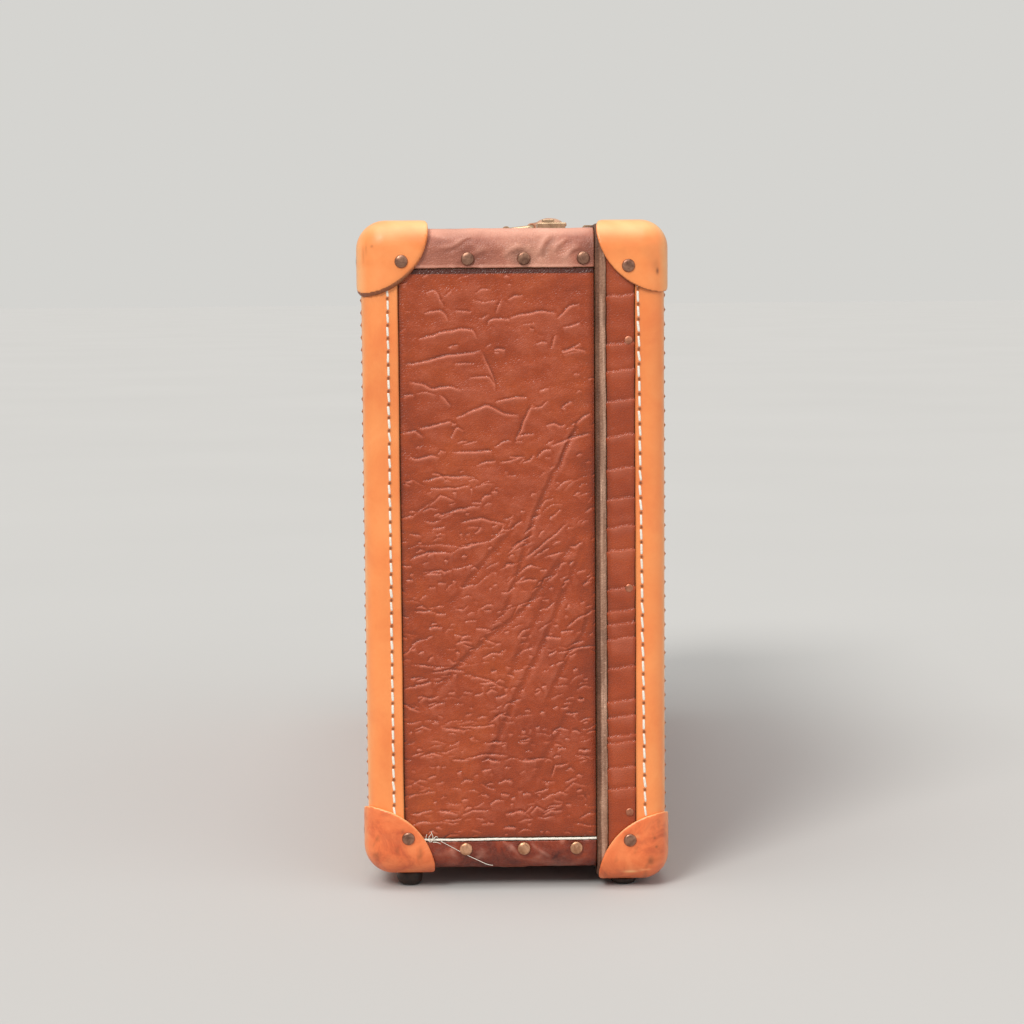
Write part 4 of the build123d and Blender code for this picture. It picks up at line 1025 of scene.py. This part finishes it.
def crease_broad_hide(hide):
    """Calmer leather of the large panels: broad swells, a few long folds, sparse cracks."""
    low_u, high_u, low_v, high_v = hide.run_u[0], hide.run_u[-1], hide.run_v[0], hide.run_v[-1]
    rng = hide.rng
    for _ in range(18):
        centre = np.array((rng.uniform(low_u, high_u), rng.uniform(low_v, high_v)))
        angle, length = radians(rng.normal(35, 25)), rng.uniform(60, 200) * MM
        shares = np.linspace(-0.5, 0.5, 6)
        spots = centre + np.outer(shares * length, (cos(angle), sin(angle)))
        spots = spots + rng.normal(0, 0.04 * length, (6, 2))
        hide.press_through(spots, rng.uniform(1.8, 2.8) * MM, rng.uniform(0.14, 0.26) * MM, valley_profile)
    patches = soft_noise(hide.flat_u / (90 * MM), hide.flat_v / (90 * MM), 9)

    def crowded(u, v):
        i = min(np.searchsorted(hide.run_u, u), len(hide.run_u) - 1)
        j = min(np.searchsorted(hide.run_v, v), len(hide.run_v) - 1)
        return float(0.25 + 0.6 * fade(0.5 + patches[i, j]))

    short_creases(hide, 13 * MM, 9 * MM, lambda u, v: radians(10), 12 * MM, 1.5 * MM, 0.34 * MM, crowded)
    hide.height += 0.40 * MM * layered_noise(hide.u / (60 * MM), hide.v / (48 * MM), 560)


def make_big_panels():
    """Leather on the two big faces and on the base's top and bottom walls."""
    low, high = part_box("base_back_panel")
    make_sheet(
        "base_back_leather", (base_low.x, 0, 0), (0, 1, 0), (0, 0, 1), (-1, 0, 0), (low.y, high.y),
        (low.z, high.z), high.x - low.x, 1.4 * MM, crease_broad_hide, "base", "base_back_panel",
    )
    low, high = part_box("lid_face_panel")
    make_sheet(
        "lid_face_leather", (lid_high.x, 0, 0), (0, 1, 0), (0, 0, 1), (1, 0, 0), (low.y, high.y),
        (low.z, high.z), high.x - low.x, 1.4 * MM, crease_broad_hide, "lid", "lid_face_panel",
    )
    for node, wall_z, up in (("base_top_cover", base_high.z, 1), ("base_bottom_cover", base_low.z, -1)):
        low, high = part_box(node)
        make_sheet(
            f"{node}_leather", (0, 0, wall_z), (1, 0, 0), (0, 1, 0), (0, 0, up), (low.x, high.x),
            (low.y, high.y), high.z - low.z, 1.3 * MM, crease_under_fittings, "base", node,
        )


def crease_under_fittings(hide):
    """Leather that carries fittings: creased, but no higher than they allow."""
    crease_broad_hide(hide)
    hide.height = np.minimum(0.4 * hide.height, 0.08 * MM) - shoulder + 0.1 * MM


# Creases of the bands, at their places in the photograph
top_band_folds = (
    (((439, 248), (452, 246), (463, 239), (473, 235)), 1.6, 0.5),
    (((455, 262), (470, 256), (486, 247)), 2.0, 0.4),
    (((502, 257), (512, 250), (522, 246)), 1.6, 0.4),
    (((537, 256), (543, 244), (550, 232)), 2.0, 0.6),
    (((553, 252), (560, 243), (569, 237)), 1.6, 0.45),
    (((562, 259), (572, 250), (582, 246)), 1.4, 0.4),
    (((430, 232), (445, 238), (458, 236)), 2.4, 0.3),
)


def make_bands():
    """Riveted leather bands bent over the wall corners of the base."""
    rivets = islands("band_rivets")
    for side, end in ENDS:
        for up, level in ((-1, "bottom"), (1, "top")):
            node = f"edge_band_{level}_{end}"
            low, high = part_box(node)
            wall_z = base_high.z if up > 0 else base_low.z
            wall_y = base_high.y
            leather = (high.z - base_high.z) if up > 0 else (base_low.z - low.z)
            leg = (base_high.z - low.z) if up > 0 else (high.z - base_low.z)
            corners = [
                (wall_y + seat_gap, -leg), (wall_y + leather, -leg), (wall_y + leather, leather),
                (wall_y - leg, leather), (wall_y - leg, seat_gap), (wall_y + seat_gap, seat_gap),
            ]
            radii = [0, 0.6 * MM, base_wall_radius + leather, 0.6 * MM, 0, base_wall_radius]
            steps = [0.5 * MM, 0.7 * MM, 0.8 * MM, 0.6 * MM, 3 * MM, 3 * MM]
            places, normals, lifts = rounded_path(corners, radii, outer_side, steps, radians(4))
            out_y, out_z = places
            run = np.linspace(low.x, high.x, round((high.x - low.x) / (0.8 * MM)))
            section = places[:, 0, :].T
            along = np.cumsum(np.linalg.norm(np.diff(section, axis=0, prepend=section[:1]), axis=1))
            x, t = np.meshgrid(run, along, indexing="ij")
            seed = 900 + 10 * up + side
            detail = 0.28 * MM * layered_noise(x / (22 * MM), t / (12 * MM), seed)
            hide = Hide(run, np.sort(along), seed)
            if side < 0 and up > 0:
                end_y = side * (wall_y + leather)
                for pixels, width, height in top_band_folds:
                    spots = [photo_to_end(px, py, end_y) for px, py in pixels]
                    spots = [(sx, leather + sz - low.z) for sx, sz in spots]
                    hide.press_through(spots, width * MM, height * MM, swell_profile)
            else:
                for _ in range(9):
                    centre = (hide.rng.uniform(low.x, high.x), hide.rng.uniform(2, 40) * MM)
                    hide.press_short(
                        centre, radians(hide.rng.normal(40, 25)), hide.rng.uniform(8, 22) * MM,
                        hide.rng.normal(0, 1) * MM, 1.6 * MM, 0.35 * MM, swell_profile,
                    )
            detail += 1.25 * hide.height
            for rivet_low, rivet_high in rivets:
                spot = (rivet_low + rivet_high) / 2
                if np.sign(spot[1]) != side or np.sign(spot[2] - (base_high.z + base_low.z) / 2) != up:
                    continue
                from_rivet = np.sqrt((x - spot[0]) ** 2 + (out_z - up * (spot[2] - wall_z)) ** 2)
                pucker = 0.30 * MM * bell(from_rivet - 9 * MM, 2.4 * MM)
                pucker = pucker * (0.4 + layered_noise(x / (5 * MM), t / (5 * MM), seed + 7))
                detail += (pucker - 0.45 * MM * bell(from_rivet, 6.5 * MM)) * (out_y > wall_y)
            quiet = fade(np.minimum(x - low.x, high.x - x) / (3 * MM) + 0.2)
            detail = detail * lifts**2 * quiet
            new_y, new_z = out_y + detail * normals[0], out_z + detail * normals[1]
            points = np.stack((x, side * new_y, wall_z + up * new_z), axis=2)
            # Painted highlights on the band's swells and painted shade in its dips
            tone = 0.12 * detail / (0.25 * MM)
            # Painted shade beside the lid's rim and on the band's underside and cut edges
            tone = tone - 0.35 * bell(high.x - x, 5 * MM) - 0.5 * (1 - lifts)
            if up > 0:
                # Painted highlight where the upper band's rounding faces up
                upward = normals[1] * lifts * (out_y > wall_y - base_wall_radius)
                tone = tone + 0.55 * fade((upward - 0.45) / 0.5)
                # Painted highlight along the band's lower edge
                tone = tone + 0.35 * bell(t - leather - 0.9 * MM, 0.7 * MM) * (out_y > wall_y)
            make_skin(
                f"band_leather_{level}_{end}", points, (False, True), "base", "band_leather", (node,),
                tone, low=1.0 if up < 0 else 0.0,
            )


# Places of the creases across the lid's border at the left end, as photograph rows
border_fold_rows = (
    297, 345, 372, 402, 437, 470, 500, 528, 552, 590, 612, 625, 640, 669, 702, 718, 737, 744, 769, 790,
)
border_fold_pixel_x = 620
border_bright_fold = 718


def make_border(ring):
    """Leather border round the lid's walls, between rim and binding, creased across."""
    x_low, x_high = border_low.x, border_high.x
    corners = [(x_low, seat_gap), (x_low, border_leather), (x_high, border_leather), (x_high, seat_gap)]
    (x, grow), (normal_x, normal_out), lifts = rounded_path(
        corners, [0, 0.5 * MM, 0.5 * MM, 0], [0, 1, 1, 0], [0.5 * MM, 0.9 * MM, 0.5 * MM, 4 * MM]
    )
    along, z = ring.along[:, None], ring.z[:, None]
    detail = 0.22 * MM * layered_noise(along / (16 * MM), x / (26 * MM), 71)
    left_end = (ring.normal_y < -0.9)[:, None]
    for row in border_fold_rows:
        fold_z = photo_to_end(border_fold_pixel_x, row, -lid_high.y)[1]
        wander = 0.6 * MM * layered_noise(x / (8 * MM), 0 * x + row, 78)
        offset = z - fold_z - 0.12 * (x - x_low) + wander
        height = 0.85 * MM if row == border_bright_fold else 0.62 * MM
        detail = detail + left_end * height * step_profile(offset / (0.9 * MM))
    detail = detail * lifts**2
    points = ring.at(x + detail * normal_x, grow + detail * normal_out)
    # Painted highlights on the folds' lips and painted shade in their dips and on the underside
    tone = np.clip(detail / (0.25 * MM), -2, 2) * 0.16 - 0.30 * (1 - lifts)
    # Painted shade along both edges, beside the rim and the binding
    tone = tone - 0.35 * bell(x - x_low, 1.8 * MM) - 0.35 * bell(x_high - x, 1.2 * MM)
    make_skin("lid_border_leather", points, (True, True), "lid", "brown_leather", ("lid_border",), tone)


pared_rim = 0.3 * MM  # how thick the rim's leather is left under the hinge leaves


def make_rim(ring):
    """Worn leather folded over the lid's open edge, pared thin under the hinge leaves."""
    hinge_spans = [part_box(f"hinge_lid_leaf_{end}") for _, end in ENDS]
    inner_x = rim_low.x + 0.4 * MM
    corners = [
        (rim_low.x, -lid_board), (rim_low.x, rim_leather), (rim_high.x, rim_leather),
        (rim_high.x, seat_gap), (inner_x, seat_gap), (inner_x, -lid_board),
    ]
    radii = [0, 1.2 * MM, 1.0 * MM, 0, 0, 0]
    steps = [0.8 * MM, 0.6 * MM, 0.5 * MM, 3 * MM, 3 * MM, 3 * MM]
    (x, grow), (normal_x, normal_out), lifts = rounded_path(
        corners, radii, [0, 1, 1, 0, 0, 0], steps, radians(18)
    )
    along = ring.along[:, None]
    crown = 0.30 * MM * np.sin(pi * np.clip((x - rim_low.x) / (rim_high.x - rim_low.x), 0, 1))
    detail = crown + 0.16 * MM * layered_noise(along / (9 * MM), x / (3.5 * MM), 81)
    detail = detail + 0.10 * MM * layered_noise(along / (60 * MM), x / (1.1 * MM), 84)
    detail = detail * lifts
    keep = np.ones(len(ring.along))
    for low, high in hinge_spans:
        inside = np.minimum(ring.y - low.y + 1 * MM, high.y + 1 * MM - ring.y) / (0.6 * MM)
        inside = np.clip(inside, 0, 1) * (ring.normal_z < -0.9)
        keep = keep * (1 - inside)
    out = grow + detail * normal_out
    low_limit = np.minimum(out, pared_rim)
    out = np.where(keep[:, None] < 1, low_limit + (out - low_limit) * keep[:, None], out)
    points = ring.at(x + detail * normal_x, out)
    streak = layered_noise(along / (26 * MM), x / (0.55 * MM), 87)
    wear_and_highlight = fade(0.5 + layered_noise(along / (45 * MM), x / (3 * MM), 88))
    crest = fade((x - rim_low.x - 1.8 * MM) / (1.2 * MM))
    speck = np.clip(layered_noise(along / (3 * MM), x / (0.8 * MM), 89) - 0.45, 0, 1)
    # Streaks and the paler crest are rubbed wear; the darker first 2 mm on the side toward the base are
    # painted shade
    tone = 0.32 * streak * wear_and_highlight + 0.30 * crest * (0.5 + wear_and_highlight) - 0.50 * (1 - crest) + 0.7 * speck
    # Painted shade on the rim's underside and inner face
    tone = tone - 0.3 * (1 - lifts)
    make_skin("lid_rim_leather", points, (True, True), "lid", "rim_leather", ("lid_rim",), tone)


# Rivets and feet

cap_rise = 2.2 * MM  # the base's upper caps are thicker on top and sit higher on the walls


def islands(node):
    """Lowest and highest corner of each separate solid of a CAD node."""
    shape = bmesh.new()
    shape.from_mesh(parts[node].data)
    bmesh.ops.remove_doubles(shape, verts=shape.verts, dist=1e-6)
    seen, boxes = set(), []
    for start in shape.verts:
        if start in seen:
            continue
        stack, group = [start], []
        seen.add(start)
        while stack:
            vert = stack.pop()
            group.append(vert.co.copy())
            for edge in vert.link_edges:
                other = edge.other_vert(vert)
                if other not in seen:
                    seen.add(other)
                    stack.append(other)
        corners = np.array(group)
        boxes.append((corners.min(axis=0), corners.max(axis=0)))
    shape.free()
    return boxes


def turned_heads(name, node, profile, segments, body, slot_name, uneven=0.06, rise=0.0, spread=1.0):
    """A turned head on each solid of a CAD node, facing away from the case.

    profile gives radius and height as shares of the solid's own radius and height. Those on the
    big faces are hammered flatter. rise lifts the upper ones, spread widens all."""
    rng = np.random.default_rng(len(name))
    middle_z = (cad_low.z + cad_high.z) / 2
    points, faces, near_floor = [], [], []
    radius_share, height_share = np.array(profile).T
    for low, high in islands(node):
        size, centre = high - low, (high + low) / 2
        axis = int(np.argmin(size))
        outward = np.sign(centre[axis] - (middle_z if axis == 2 else 0))
        normal = np.eye(3)[axis] * outward
        root = centre - normal * size[axis] / 2
        if centre[2] > middle_z:
            root[2] += rise
        stand = size[axis] * (0.4 if axis == 0 and slot_name == "rivet_metal" else 1.0)
        first, second = np.eye(3)[(axis + 1) % 3], np.eye(3)[(axis + 2) % 3]
        radius = size[(axis + 1) % 3] / 2 * spread
        spin = rng.uniform(0, 2 * pi)
        tilt = rng.normal(0, uneven, 2)
        base = sum(len(p) for p in points)
        loops = []
        for r, h in zip(radius_share[:-1], height_share[:-1]):
            angles = spin + np.linspace(0, 2 * pi, segments, endpoint=False)
            turned = np.outer(np.cos(angles), first) + np.outer(np.sin(angles), second)
            ring_points = root + radius * r * turned
            wobble = 1 + h * (tilt[0] * np.cos(angles) + tilt[1] * np.sin(angles)) * r
            loops.append(ring_points + np.outer(stand * h * wobble, normal))
        loops.append((root + normal * stand * height_share[-1])[None, :])
        cloud = np.vstack(loops)
        points.append(cloud)
        near_floor.append(np.full(len(cloud), float(node == "band_rivets" and centre[2] < middle_z)))
        rings = len(profile) - 1
        faces.extend((np.array(grid_faces(rings, segments, False, True)) + base).tolist())
        tip = base + rings * segments
        last = tip - segments
        faces.extend((last + j, last + (j + 1) % segments, tip) for j in range(segments))
        faces.append([base + j for j in range(segments)])
    low_share = np.concatenate(near_floor)
    make_piece(name, np.vstack(points), faces, body, slot_name, (node,), low=low_share)


def dome_profile(rim_height, crown_flat=0.0, steps=9):
    """Radius and height shares of a low dome on a short rim."""
    profile = [(0.97, 0.0), (1.0, rim_height * 0.5), (0.985, rim_height)]
    for step in range(1, steps + 1):
        angle = pi / 2 * step / steps
        radius = 0.965 * cos(angle)
        profile.append((max(radius, 0.0), rim_height + (1 - rim_height) * sin(angle) ** (1 - crown_flat)))
    return profile


def make_heads():
    """Rivets and feet."""
    rivet = dome_profile(0.28, 0.1)
    foot = [
        (0.96, 0.0), (1.0, 0.12), (1.0, 0.45), (0.97, 0.62), (0.88, 0.80), (0.72, 0.92), (0.5, 0.98),
        (0.25, 1.0), (0, 1.0),
    ]
    turned_heads("base_feet_turned", "base_feet", foot, 40, "base", "feet", 0.0)
    turned_heads("lid_feet_turned", "lid_feet", foot, 40, "lid", "feet", 0.0)
    for node, body, slot_name in (
        ("band_rivets", "base", "rivet_metal"),
        ("base_cap_rivets", "base", "rivet_metal"),
        ("lid_cap_rivets", "lid", "rivet_metal"),
        ("lid_border_rivets", "lid", "small_rivets"),
        ("base_fitting_rivets", "base", "fitting_metal"),
        ("lid_fitting_rivets", "lid", "fitting_metal"),
    ):
        turned_heads(
            f"{node}_domed", node, rivet, 28, body, slot_name,
            rise=cap_rise if node == "base_cap_rivets" else 0.0,
            spread=1.2 if node == "lid_border_rivets" else 1.0,
        )


# Corner caps

# Marks on the caps of the left end: photograph pixel, reach in mm across and up, tone
cap_marks = (
    ((363, 258), (0.9, 6.0), -0.40),
    ((366, 252), (0.7, 4.0), -0.30),
    ((372, 250), (0.9, 0.9), -0.50),
    ((657, 271), (0.9, 1.8), -0.85),
    ((655, 266), (2.5, 4.0), -0.20),
    ((630, 870), (4.0, 0.8), 0.90),
    ((645, 868), (3.0, 0.7), 0.60),
    ((654, 836), (0.7, 0.7), -0.80),
    ((656, 845), (0.8, 0.6), -0.80),
    ((650, 858), (2.2, 3.0), -0.45),
    ((636, 834), (2.0, 1.2), 0.25),
    ((378, 856), (3.5, 2.5), -0.25),
    ((421, 852), (1.6, 5.0), -0.35),
)


def cap_tone(co, normals, upper, photographed):
    """Tone of a cap: painted highlights on its rounded edges, painted shade on the upper caps' cut edge and
    a painted highlight on the lower caps' cut edge, darker towards the bottom, stained and scuffed.
    """
    x, y, z = co.T
    cloud = layered_noise(x / (18 * MM) + y / (21 * MM), z / (16 * MM), 41)
    outward = abs(normals[:, 0]) * np.sign(normals[:, 0] * x)
    if upper:
        # Painted highlight where the rounded edges face up or outward
        wear_and_highlight = fade((normals[:, 2] - 0.30) / 0.55) + 0.7 * fade((outward - 0.55) / 0.4)
        tone = 0.10 * cloud + 0.85 * np.clip(wear_and_highlight, 0, 1) * (0.9 + 0.2 * cloud)
        # Painted shade on the downward-facing cut edge
        tone = tone - 1.0 * fade((-normals[:, 2] - 0.35) / 0.3)
    else:
        # Painted highlight on the upward-facing cut edge
        lip = fade((normals[:, 2] - 0.35) / 0.3)
        # Darker towards the bottom, unevenly
        darker_at_bottom = fade((14 * MM - z) / (14 * MM)) * np.clip(0.6 + cloud, 0, 1.4)
        stain = np.clip(layered_noise(x / (7 * MM), z / (9 * MM) + y / (9 * MM), 45) - 0.35, 0, 1)
        # Stains are the leather's own; the paling on outward faces is a painted highlight
        tone = 0.10 * cloud + 0.75 * lip - 0.40 * darker_at_bottom - 0.55 * stain + 0.25 * fade((outward - 0.7) / 0.3)
    if photographed:
        for (pixel_x, pixel_y), (reach_x, reach_z), strength in cap_marks:
            mark_x, mark_z = photo_to_end(pixel_x, pixel_y, -base_high.y)
            off = ((x - mark_x) / (reach_x * MM)) ** 2 + ((z - mark_z) / (reach_z * MM)) ** 2
            tone = tone + strength * np.exp(-off) * (normals[:, 1] < -0.3)
    return np.clip(tone, -0.95, 0.95)


def softened(node, voxel, rounds):
    """A dense copy of a CAD node with soft edges, and its vertices and normals."""
    mesh = parts[node].data.copy()
    mesh.materials.clear()
    piece = bpy.data.objects.new(f"{node}_leather", mesh)
    bpy.context.scene.collection.objects.link(piece)
    weld = piece.modifiers.new("weld", "WELD")
    weld.merge_threshold = 0.01 * MM
    remesh = piece.modifiers.new("remesh", "REMESH")
    remesh.mode = "VOXEL"
    remesh.voxel_size = voxel
    remesh.use_smooth_shade = True
    smooth = piece.modifiers.new("smooth", "SMOOTH")
    smooth.factor = 0.5
    smooth.iterations = rounds
    bpy.context.view_layer.update()
    graph = bpy.context.evaluated_depsgraph_get()
    dense = bpy.data.meshes.new_from_object(piece.evaluated_get(graph))
    piece.modifiers.clear()
    piece.data = dense
    dense.materials.clear()
    co, normals = np.zeros(len(dense.vertices) * 3), np.zeros(len(dense.vertices) * 3)
    dense.vertices.foreach_get("co", co)
    dense.vertices.foreach_get("normal", normals)
    return piece, co.reshape(-1, 3), normals.reshape(-1, 3)


def put_in_place(piece, co, body, slot_name, node):
    """Gives a softened copy its vertices and finish, and sets it in the model."""
    piece.data.vertices.foreach_set("co", co.reshape(-1))
    piece.data.materials.append(finishes[slot_name])
    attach(piece, body)
    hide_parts(node)


def make_caps():
    """Moulded leather corner caps: the CAD form with soft edges."""
    for tray in ("base", "lid"):
        for level in ("bottom", "top"):
            for side, end in ENDS:
                node = f"{tray}_cap_{level}_{end}"
                piece, co, normals = softened(node, 0.75 * MM, 7)
                paint(piece.data, "tone", cap_tone(co, normals, level == "top", side < 0))
                paint(piece.data, "low", 0.0 if level == "top" else 1.0)
                if tray == "base" and level == "top":
                    corner = np.array((base_low.x, side * base_high.y, base_high.z))
                    arm = co - corner - 40 * MM * np.array((1, -side, -1))
                    outer = (normals * arm).sum(axis=1) / np.linalg.norm(arm, axis=1)
                    co[:, 2] += cap_rise * fade(0.5 + outer)
                put_in_place(piece, co, tray, "tan_leather", node)


# Handle grip: sizes of the CAD grip about its pivot axis
handle_pivot_x = 0.0
handle_pivot_z = 411.7 * MM
handle_tilt = radians(6.5)
grip_reach = 31 * MM
grip_half_width = 10.5 * MM
grip_half_thickness = 6.5 * MM
grip_straight = 50 * MM  # half of the straight run between the bends
grip_stitch_pitch = 4.6 * MM
grip_stitch_at = 8.4 * MM


def make_grip():
    """Rolled leather grip with creases across it and two rows of stitches at the welt."""
    piece, co, normals = softened("handle_grip", 0.7 * MM, 6)
    creases = layered_noise(co[:, 1] / (2.6 * MM), co[:, 0] / (9 * MM) + co[:, 2] / (7 * MM), 301)
    dents = layered_noise(co[:, 1] / (17 * MM), co[:, 2] / (9 * MM), 303)
    bent = fade((abs(co[:, 1]) - 0.8 * grip_straight) / (8 * MM))
    depth = (0.05 + 0.14 * bent) * MM * creases + 0.18 * MM * dents
    rings_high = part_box("handle_rings")[1]
    clear = fade((co[:, 0] - rings_high.x - 1 * MM) / (3 * MM))
    # Painted highlights on the grip's raised wrinkles and dents and painted shade in their hollows; darker
    # next to the rings
    paint(piece.data, "tone", 0.16 * creases * (0.4 + bent) + 0.10 * dents - 0.30 * (1 - clear))
    put_in_place(piece, co + normals * (depth * clear)[:, None], "handle", "handle_leather", "handle_grip")

    count = int(2 * grip_straight / grip_stitch_pitch)
    y = (np.arange(count) - (count - 1) / 2) * grip_stitch_pitch
    slim = np.interp(abs(y), (0, grip_straight / 2, grip_straight), (1.0, 0.97, 0.88))
    for up, level in ((-1, "lower"), (1, "upper")):
        rise = up * grip_half_thickness * np.sqrt(1 - (grip_stitch_at / grip_half_width) ** 2) * slim
        reach = grip_reach + grip_stitch_at * slim
        out_x, out_z = rotated(reach, rise, handle_tilt)
        places = np.stack((handle_pivot_x + out_x, y, handle_pivot_z + out_z), axis=1)
        slope = np.array((grip_stitch_at / grip_half_width**2, rise[0] / slim[0] / grip_half_thickness**2))
        slope = slope / hypot(*slope)
        normal_x, normal_z = rotated(*slope, handle_tilt)
        normal = np.array((normal_x, 0, normal_z))
        make_stitches(
            f"grip_stitches_{level}", "handle", places, np.tile((0.0, 1.0, 0.0), (count, 1)),
            np.tile(normal, (count, 1)), 0.78 * grip_stitch_pitch, 0.15 * MM, 0.42 * MM,
        )


# Welt cord and its loose thread

def swept_tube(name, spine, radius, body, slot_name, sides=10, replaced=()):
    """A closed round tube along a line of points."""
    spine = np.array(spine)
    heading = np.gradient(spine, axis=0)
    heading /= np.linalg.norm(heading, axis=1)[:, None]
    reference = np.array((0.0, 0.0, 1.0)) if abs(heading[0][2]) < 0.8 else np.array((1.0, 0.0, 0.0))
    first = np.cross(heading, reference)
    first /= np.linalg.norm(first, axis=1)[:, None]
    second = np.cross(heading, first)
    angles = np.linspace(0, 2 * pi, sides, endpoint=False)
    radius = np.broadcast_to(radius, (len(spine),))
    arms = np.cos(angles)[:, None] * first[:, None, :] + np.sin(angles)[:, None] * second[:, None, :]
    points = spine[:, None, :] + radius[:, None, None] * arms
    make_skin(name, points, (False, True), body, slot_name, replaced)


def make_welt():
    """White cord between the lower band and the end panel, both ends of the case."""
    low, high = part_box("welt_cords")
    radius = (high.z - low.z) / 2
    x = np.linspace(low.x, high.x, 260)
    for side, end in ENDS:
        wave = 0.25 * MM * layered_noise(x / (22 * MM), 0 * x, 60 + side)
        y = np.full(x.shape, side * (base_high.y + radius))
        spine = np.stack((x, y, (low.z + high.z) / 2 + wave), axis=1)
        thick = radius * (0.86 + 0.14 * abs(np.sin(x / (1.6 * MM))))
        swept_tube(
            f"welt_cord_{end}", spine, thick, "base", "welt_cord",
            replaced=("welt_cords",) if side < 0 else (),
        )


# Loose thread and knot by the welt, at their places in the photograph
loose_thread = (
    ((441, 841), 0.9), ((452, 847), 0.5), ((465, 854), 0.35), ((478, 860), 0.4), ((487, 864), 0.6),
    ((493, 865), 0.9),
)
knot_strands = (
    ((430, 842), (429, 837), (432, 833)),
    ((431, 842), (433, 837), (431, 831)),
    ((432, 841), (436, 836), (438, 838)),
    ((429, 841), (426, 838), (427, 834)),
    ((433, 842), (437, 842), (441, 844)),
)


def make_loose_thread():
    """A thread end that lies over the lower band, and the cord's frayed knot."""
    face_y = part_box("edge_band_bottom_left")[0].y
    spine = []
    for (pixel_x, pixel_y), stand in loose_thread:
        x, z = photo_to_end(pixel_x, pixel_y, face_y)
        spine.append((x, face_y - stand * MM, z))
    spine = curve_through(spine, 0.8 * MM)
    swept_tube("loose_thread", spine, 0.17 * MM, "base", "welt_cord", sides=7)
    for i, strand in enumerate(knot_strands):
        places = [photo_to_end(px, py, face_y) for px, py in strand]
        spine = [(x, face_y - 0.5 * MM - 0.5 * MM * (k % 2), z) for k, (x, z) in enumerate(places)]
        spine = curve_through(spine, 0.5 * MM)
        thick = np.linspace(0.28, 0.12, len(spine)) * MM
        swept_tube(f"knot_strand_{i}", spine, thick, "base", "welt_cord", sides=6)


def finish_cad_nodes():
    """Materials of the CAD nodes that stay as they are."""
    slots = {row["node"]: row["material_slot"] for row in frame["record"]["subparts"]}
    for name, node in parts.items():
        node.data.materials.clear()
        node.data.materials.append(finishes[slots[name]])


make_camera()
make_room()
finish_cad_nodes()
base_ring = Ring(base_low, base_high, base_wall_radius, 0.85 * MM, opening_radius)
lid_ring = Ring(lid_low, lid_high, lid_wall_radius, 0.85 * MM, opening_radius)
make_binding(
    "base", base_ring, -1, base_binding_high.x, base_low.x, base_binding_leather, base_edge_radius,
    base_binding_face,
)
make_binding(
    "lid", lid_ring, 1, lid_binding_low.x, lid_high.x, lid_binding_leather, lid_edge_radius,
    lid_binding_face,
)
for tray, ring, leather in (
    ("base", base_ring, base_binding_leather), ("lid", lid_ring, lid_binding_leather),
):
    row_of_stitches(
        f"{tray}_wall_stitches", tray, ring, stitch_x(tray, ring.z)[:, None], np.full((1, 1), leather),
        (0, 1), wall_stitch_stand,
    )
for tray, ring, sign, face_x, grow in (
    ("base", base_ring, -1, base_binding_low.x, base_binding_leather - base_binding_face),
    ("lid", lid_ring, 1, lid_binding_high.x, lid_binding_leather - lid_binding_face),
):
    row_of_stitches(
        f"{tray}_face_stitches", tray, ring, np.full((1, 1), face_x),
        np.full((1, 1), grow + face_stitch_inset), (sign, 0), face_stitch_stand,
    )
make_end_panels()
make_big_panels()
make_bands()
make_border(lid_ring)
make_rim(lid_ring)
make_heads()
make_caps()
make_grip()
make_welt()
make_loose_thread()

bpy.context.scene.view_settings.view_transform = "Standard"
